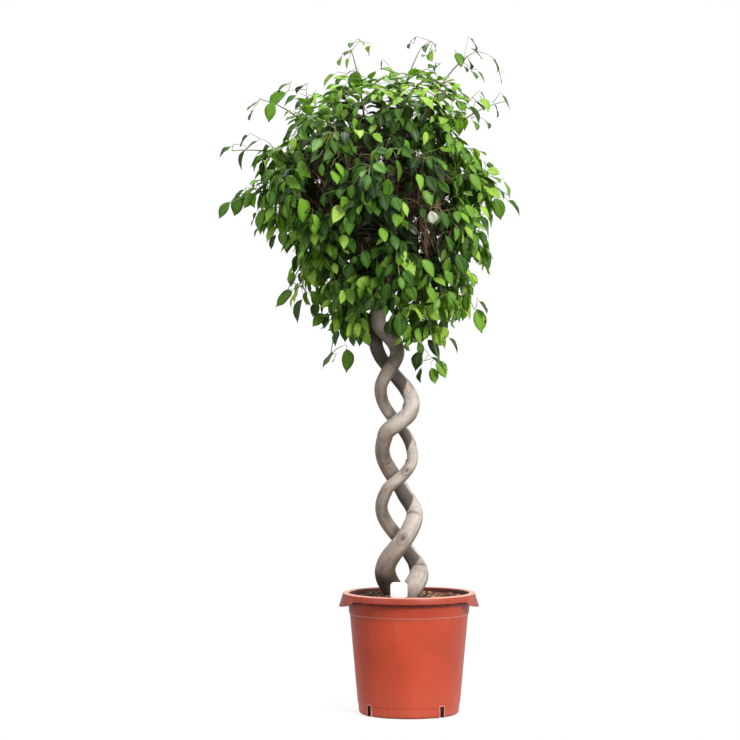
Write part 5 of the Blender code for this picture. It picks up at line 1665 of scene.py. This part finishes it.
def beside(place):
    """Whether a place is beside the crown's outline as seen from the front."""
    middle, half = outline_at(place.z)
    outside = abs(place.x - middle) > half or not CROWN_FOOT < place.z < CROWN_TOP
    return outside and abs(place.y) < 0.13


def beside_dry_twigs(place):
    """Whether a leaf from here would hang in front of the dry twigs."""
    off = place - DRY_MIDDLE
    if off.y > DRY_REACH.y * 2:
        return False
    return abs(off.x) < DRY_REACH.x and -DRY_REACH.z < off.z < DRY_REACH.z * 1.4


def places_along(points, bare, spacing):
    """(place, direction, share of the way) of each leaf along a shoot, the last one at its end."""
    lengths = [0.0]
    for a, b in zip(points, points[1:]):
        lengths.append(lengths[-1] + (b - a).length)
    total = lengths[-1]
    count = max(2, round(total * (1 - bare) / spacing))
    for k in range(count + 1):
        distance = total * (bare + (1 - bare) * k / count)
        i = next((j for j in range(len(points) - 1) if lengths[j + 1] >= distance), len(points) - 2)
        share = (distance - lengths[i]) / (lengths[i + 1] - lengths[i])
        along = (points[i + 1] - points[i]).normalized()
        yield points[i].lerp(points[i + 1], share), along, k / count


def add_leafy_shoot(shape, points, settings, rng, bare=0.2, spread=1.0, within=False):
    """Leaves in turn on both sides of a shoot, hanging from short stalks, and one at its end."""
    sign = rng.choice((-1, 1))
    for place, along, share in places_along(points, bare, settings.spacing * spread):
        if within and beside(place) or beside_dry_twigs(place):
            continue
        if in_thin_patch(place, THIN_LEAF_FRONT) and rng.random() < THIN_LEAF_MISSING:
            continue
        side = along.cross(UP)
        side = side.normalized() if side.length > 0.1 else Vector((rng.uniform(-1, 1), 1, 0)).normalized()
        sign = -sign
        outward = place - CROWN_MIDDLE
        high = eased(outward.z, *HIGH_LEAVES)
        out = min(outwardness(place), 1.0)
        outward = (outward * Vector((1, 1, 0.6))).normalized()
        stalk_way = along + UP * 0.15 if share == 1 else along * 0.45 + side * sign * 0.8 + UP * 0.15
        stalk_way.normalize()
        stalk = stalk_way * settings.length * STALK_SHARE * rng.uniform(*STALK_LENGTH)
        hang = rng.uniform(*HANG) * (1 - 0.85 * high)
        way = stalk_way * 0.8 + outward * rng.uniform(*OUTWARD_TURN) - UP * hang
        way = (way + random_vector(rng, HEADING_SCATTER)).normalized()
        facing = outward + UP * (0.55 + 1.3 * high) + random_vector(rng, FACING_SCATTER)
        size = settings.length * rng.uniform(*LEAF_SIZE) * (1 - 0.15 * high)
        size *= 1 - 0.30 * eased(share, *END_LEAVES)
        wide = size * settings.width * rng.uniform(*LEAF_BREADTH)
        base = place + stalk
        middle = place + stalk * 0.55 + UP * 0.001
        own = leaf_tint(rng, place, out)
        # Painted shade for leaves inside the crown, less near its outline
        depth = eased(out, *SHADED_INNER_LEAVES) * (1 - 0.75 * near_edge(place))
        if share > 0.75:
            own = min(own + 0.10, 1.0)
        add_shoot_tube(shape, (place, middle, base + way * 0.002), STALK_RADII, 3, STALK_AGES)
        add_leaf(shape, base, way, facing, size, wide, own, depth, rng)


def spray_stems(rng):
    """The stem of each spray, arching from its twig to its tip."""
    stems = []
    for number, tip in enumerate(spray_tips(), 1):
        start = spray_start(number, tip)
        bend = start.lerp(tip, 0.4) + UP * SPRAY_ARCH * rng.uniform(0.6, 1.2)
        stems.append(arc(start, bend, tip, SPRAY_STEPS))
    return stems


def nearest_stem(stems, end, load):
    """The spray stem and the place on it that a side shoot to this end grows from."""
    best = None
    for number, stem in enumerate(stems):
        for place in stem[1:-1]:
            inward = max(0.0, (place - CROWN_MIDDLE).length - (end - CROWN_MIDDLE).length)
            cost = (end - place).length + 0.5 * max(0.0, end.z - place.z) + 0.4 * inward
            cost += 0.003 * load[number]
            if best is None or cost < best[0]:
                best = (cost, number, place)
    load[best[1]] += 1
    return best[1], best[2]


def add_side_shoot(shape, start, end, settings, rng):
    """One side shoot with its leaves."""
    reach = (end - start).length
    bend = start.lerp(end, 0.5) + UP * reach * rng.uniform(0.10, 0.30)
    bend += random_vector(rng, 0.1) * reach
    points = arc(start, bend, end, SHOOT_STEPS)
    add_tapered(shape, points, SHOOT_RADII, SHOOT_AGES)
    add_leafy_shoot(shape, points, settings, rng, bare=0.22)


def seen_at(x, y, z):
    """The place at depth y that is seen where (x, z) in the stems' plane is."""
    return EYE + (Vector((x, 0, z)) - EYE) * ((y - EYE.y) / -EYE.y)


def front_depth(x, z):
    """Depth of the crown's front at a place of its outline."""
    middle, half = outline_at(z)
    across = min(abs(x - middle) / half, 0.95)
    return -half * DEPTH_SHARE * math.sqrt(1 - across ** 2)


def loose_leaf(row, depth, rng):
    """Base, way, facing, length and tint of a single leaf from its row."""
    x, z, tip_x, tip_z, openness, tint = row
    base = seen_at(x / 1000, depth, z / 1000)
    span = (seen_at(tip_x / 1000, depth, tip_z / 1000) - base) * LOOSE_STRETCH
    length = max(span.length, LOOSE_LENGTH * min(1.0, 0.35 + span.length / LOOSE_LENGTH))
    way = span + FRONT * math.sqrt(length ** 2 - span.length ** 2) * rng.choice((-1, 1))
    edge_on = span.cross(FRONT).normalized()
    edge_on *= 1 if edge_on.z > 0 else -1
    open_share = min(openness / 10 + 0.05, 1.0)
    facing = FRONT * open_share + edge_on * math.sqrt(1 - open_share ** 2)
    return base, way, facing, length, tint / 10


def plan_loose_leaves(stems, shoots, rng):
    """For each spray, its single leaves as (twig, way, facing, length, tint), and its dry twigs."""
    places = [(number, point) for number, stem in enumerate(stems) for point in stem[3:]]
    places += [(number, end) for number, own in enumerate(shoots) for _start, end in own]
    leaves = [loose_leaf(row, rng.uniform(-LOOSE_DEPTH, LOOSE_DEPTH), rng) for row in LOOSE_LEAVES]
    leaves += [loose_leaf(row, front_depth(row[0] / 1000, row[1] / 1000), rng) for row in FRONT_LEAVES]
    gaps = [min((leaf[0] - place).length for _number, place in places) for leaf in leaves]
    plans = [[] for _ in stems]
    for _gap, number in sorted(zip(gaps, range(len(leaves)))):
        base, way, facing, length, tint = leaves[number]
        spray, start = min(
            places, key=lambda place: (place[1] - base).length + 0.5 * max(0.0, base.z - place[1].z)
        )
        reach = (base - start).length
        bend = start.lerp(base, 0.5) + UP * reach * rng.uniform(0.05, 0.22)
        points = arc(start, bend, base - way.normalized() * LOOSE_STALK + UP * 0.002, 5) + [base]
        places += [(spray, point) for point in points[2:-1]]
        plans[spray].append((points, way, facing, length, tint))
    dry = [[] for _ in stems]
    for _ in range(DRY_TWIGS):
        off = Vector([rng.uniform(-1, 1) * reach for reach in DRY_REACH])
        end = DRY_MIDDLE + off - UP * DRY_REACH.z * 0.2
        top = end + Vector((rng.gauss(0, 0.022), rng.gauss(0, 0.016), rng.uniform(0.04, 0.10)))
        spray, start = min(places, key=lambda place: (place[1] - top).length)
        dry[spray].append(arc(start, top, end, DRY_STEPS))
    return plans, dry


def add_loose_leaf(shape, plan, settings, rng):
    """A single leaf on its own thin twig."""
    points, way, facing, length, tint = plan
    add_tapered(shape, points, LOOSE_RADII, LOOSE_AGES)
    wide = length * settings.width * rng.uniform(*LOOSE_BREADTH)
    add_leaf(shape, points[-1], way, facing, length, wide, tint, 0.0, rng)


def add_inner_twig(shape, stem, rng):
    """A bare brown twig that wanders from a spray's stem into the shade of the crown."""
    start = stem[rng.randrange(0, len(stem) // 2)]
    way = Vector([rng.gauss(0, 1) for _ in range(3)]).normalized()
    end = start + way * rng.uniform(0.06, 0.20)
    if outwardness(end) > 0.80:
        end = start.lerp(CROWN_MIDDLE, rng.uniform(0.3, 0.6)) + way * 0.03
    end.z = min(end.z, INNER_TWIG_TOP)
    points = arc(start, start.lerp(end, 0.5) + random_vector(rng, 1) * 0.035, end, INNER_TWIG_STEPS)
    thick = rng.uniform(*INNER_TWIG_RADII)
    age = 0.10 * rng.random()
    add_tapered(shape, points, (thick, thick * INNER_TWIG_TAPER), (age, age))


def build_leaves(settings):
    """Every spray: its stem, its side shoots and all their leaves, in place of the spray's solid."""
    rng = random.Random(SEED + 2)
    finishes = [leaf_finish(settings), shoot_finish()]
    stems = spray_stems(rng)
    shoots, load = [[] for _ in stems], [0] * len(stems)
    for end in shoot_ends(settings.shoots, rng):
        number, start = nearest_stem(stems, end, load)
        shoots[number].append((start, end))
    plans, dry = plan_loose_leaves(stems, shoots, rng)
    for number, stem in enumerate(stems):
        shape = Shape("blade", "own")
        outer = number >= BODY_SPRAYS
        add_tapered(shape, stem, SPRAY_RADII, SPRAY_AGES, 6)
        if outer:
            add_leafy_shoot(shape, stem, settings, rng, bare=0.40, spread=1.5, within=True)
        else:
            add_leafy_shoot(shape, stem, settings, rng, bare=0.30)
        for start, end in shoots[number]:
            add_side_shoot(shape, start, end, settings, rng)
        for plan in plans[number]:
            add_loose_leaf(shape, plan, settings, rng)
        for points in dry[number]:
            add_tapered(shape, points, DRY_RADII, DRY_AGES)
        for _ in range(0 if outer else settings.inner_twigs // BODY_SPRAYS):
            add_inner_twig(shape, stem, rng)
        name = f"fig_spray_{number + 1:02d}"
        new_piece(name, shape.mesh(name), finishes, "leaf", f"leafy_spray_{number + 1:02d}")


# Stage
def looking(name, data, place, target):
    """An object at a place that looks at its target."""
    made = placed(name, data)
    made.location = place
    made.rotation_euler = (Vector(target) - Vector(place)).to_track_quat("-Z", "Y").to_euler()
    return made


def area_light(name, place, size, colour, power):
    """A soft square light turned to the plant."""
    light = bpy.data.lights.new(name, "AREA")
    light.energy = power
    light.size = size
    light.color = colour
    looking(name, light, place, LIGHT_TARGET)


def white_room(strength):
    """Plain white surroundings that light the plant softly, most from above and the right."""
    nodes = Nodes(bpy.data.worlds.new("white_room"), "OutputWorld")
    way = nodes.add("TexCoord").outputs["Generated"]
    height = nodes.vector_math("DOT_PRODUCT", way, BRIGHT_WAY)
    lighting = nodes.ranged(height, -0.7, 1.0, strength * DARK_SHARE, strength)
    lit, seen = [
        nodes.add("Background", {"Color": rgba(WHITE), "Strength": power}).outputs["Background"]
        for power in (lighting, 1.0)
    ]
    from_camera = nodes.add("LightPath").outputs["Is Camera Ray"]
    mixed = nodes.add("MixShader", {0: from_camera, 1: lit, 2: seen})
    bpy.context.scene.world = nodes.finished(mixed.outputs["Shader"])


def build_stage(settings):
    """The floor, the light and the camera at the photograph's angle."""
    bm = bmesh.new()
    bmesh.ops.create_circle(bm, cap_ends=True, segments=96, radius=FLOOR_RADIUS)
    floor = placed("floor", mesh_of(bm, "floor"))
    floor.data.materials.append(floor_finish(settings))
    floor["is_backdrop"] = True
    for name, place, size, colour in LIGHTS:
        area_light(name, place, size, colour, getattr(settings, name + "_power"))
    white_room(settings.sky)
    camera = bpy.data.cameras.new("camera")
    camera.sensor_width = SENSOR_WIDTH
    camera.lens = FOCAL_LENGTH
    camera.clip_end = 60.0
    scene = bpy.context.scene
    scene.camera = looking("camera", camera, EYE, (EYE.x, 0.0, AIM_HEIGHT))
    scene.view_settings.view_transform = "Standard"


# Operators and the sidebar panel
class FIG_OT_pot(bpy.types.Operator):
    """Makes the moulded nursery pot."""

    bl_idname = "fig.make_pot"
    bl_label = "Pot"

    def execute(self, context):
        build_pot(context.scene.fig_pot)
        return {"FINISHED"}


class FIG_OT_soil(bpy.types.Operator):
    """Makes the potting mix and its bark chips."""

    bl_idname = "fig.make_soil"
    bl_label = "Potting mix"

    def execute(self, context):
        build_soil(context.scene.fig_soil)
        return {"FINISHED"}


class FIG_OT_label(bpy.types.Operator):
    """Makes the blank plant label."""

    bl_idname = "fig.make_label"
    bl_label = "Label"

    def execute(self, context):
        build_label(context.scene.fig_label)
        return {"FINISHED"}


class FIG_OT_stems(bpy.types.Operator):
    """Makes the two wound stems with limbs and twigs."""

    bl_idname = "fig.make_stems"
    bl_label = "Stems"

    def execute(self, context):
        build_stems(context.scene.fig_stems)
        return {"FINISHED"}


class FIG_OT_leaves(bpy.types.Operator):
    """Makes the sprays of hanging leaves."""

    bl_idname = "fig.make_leaves"
    bl_label = "Leafy sprays"

    def execute(self, context):
        build_leaves(context.scene.fig_leaves)
        return {"FINISHED"}


class FIG_OT_stage(bpy.types.Operator):
    """Sets up the floor, the light and the camera."""

    bl_idname = "fig.set_stage"
    bl_label = "Stage"

    def execute(self, context):
        build_stage(context.scene.fig_stage)
        return {"FINISHED"}


class FIG_PT_sidebar(bpy.types.Panel):
    """Lists the pieces of the potted fig."""

    bl_idname = "FIG_PT_sidebar"
    bl_label = "Potted weeping fig"
    bl_space_type = "VIEW_3D"
    bl_region_type = "UI"
    bl_category = "Fig"

    def draw(self, context):
        for group, (_settings, operator) in GROUPS.items():
            box = self.layout.box()
            box.operator(operator.bl_idname)
            settings = getattr(context.scene, group)
            for name in settings.__annotations__:
                box.prop(settings, name)


GROUPS = {
    "fig_pot": (FIG_PG_pot, FIG_OT_pot),
    "fig_soil": (FIG_PG_soil, FIG_OT_soil),
    "fig_label": (FIG_PG_label, FIG_OT_label),
    "fig_stems": (FIG_PG_stems, FIG_OT_stems),
    "fig_leaves": (FIG_PG_leaves, FIG_OT_leaves),
    "fig_stage": (FIG_PG_stage, FIG_OT_stage),
}


def register():
    """Registers the settings, the operators and the panel."""
    for name, (settings, operator) in GROUPS.items():
        bpy.utils.register_class(settings)
        setattr(bpy.types.Scene, name, PointerProperty(type=settings))
        bpy.utils.register_class(operator)
    bpy.utils.register_class(FIG_PT_sidebar)


def unregister():
    """Takes them away again, last first."""
    bpy.utils.unregister_class(FIG_PT_sidebar)
    for name, (settings, operator) in reversed(GROUPS.items()):
        bpy.utils.unregister_class(operator)
        delattr(bpy.types.Scene, name)
        bpy.utils.unregister_class(settings)


def main():
    """Makes every piece and the stage."""
    register()
    bpy.ops.fig.make_pot()
    bpy.ops.fig.make_soil()
    bpy.ops.fig.make_label()
    bpy.ops.fig.make_stems()
    bpy.ops.fig.make_leaves()
    bpy.ops.fig.set_stage()
    boxes = {"cad": CAD_BOX, "visual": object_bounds()}
    {name: [list(corner) for corner in box] for name, box in boxes.items()}


if __name__ == "__main__":
    main()
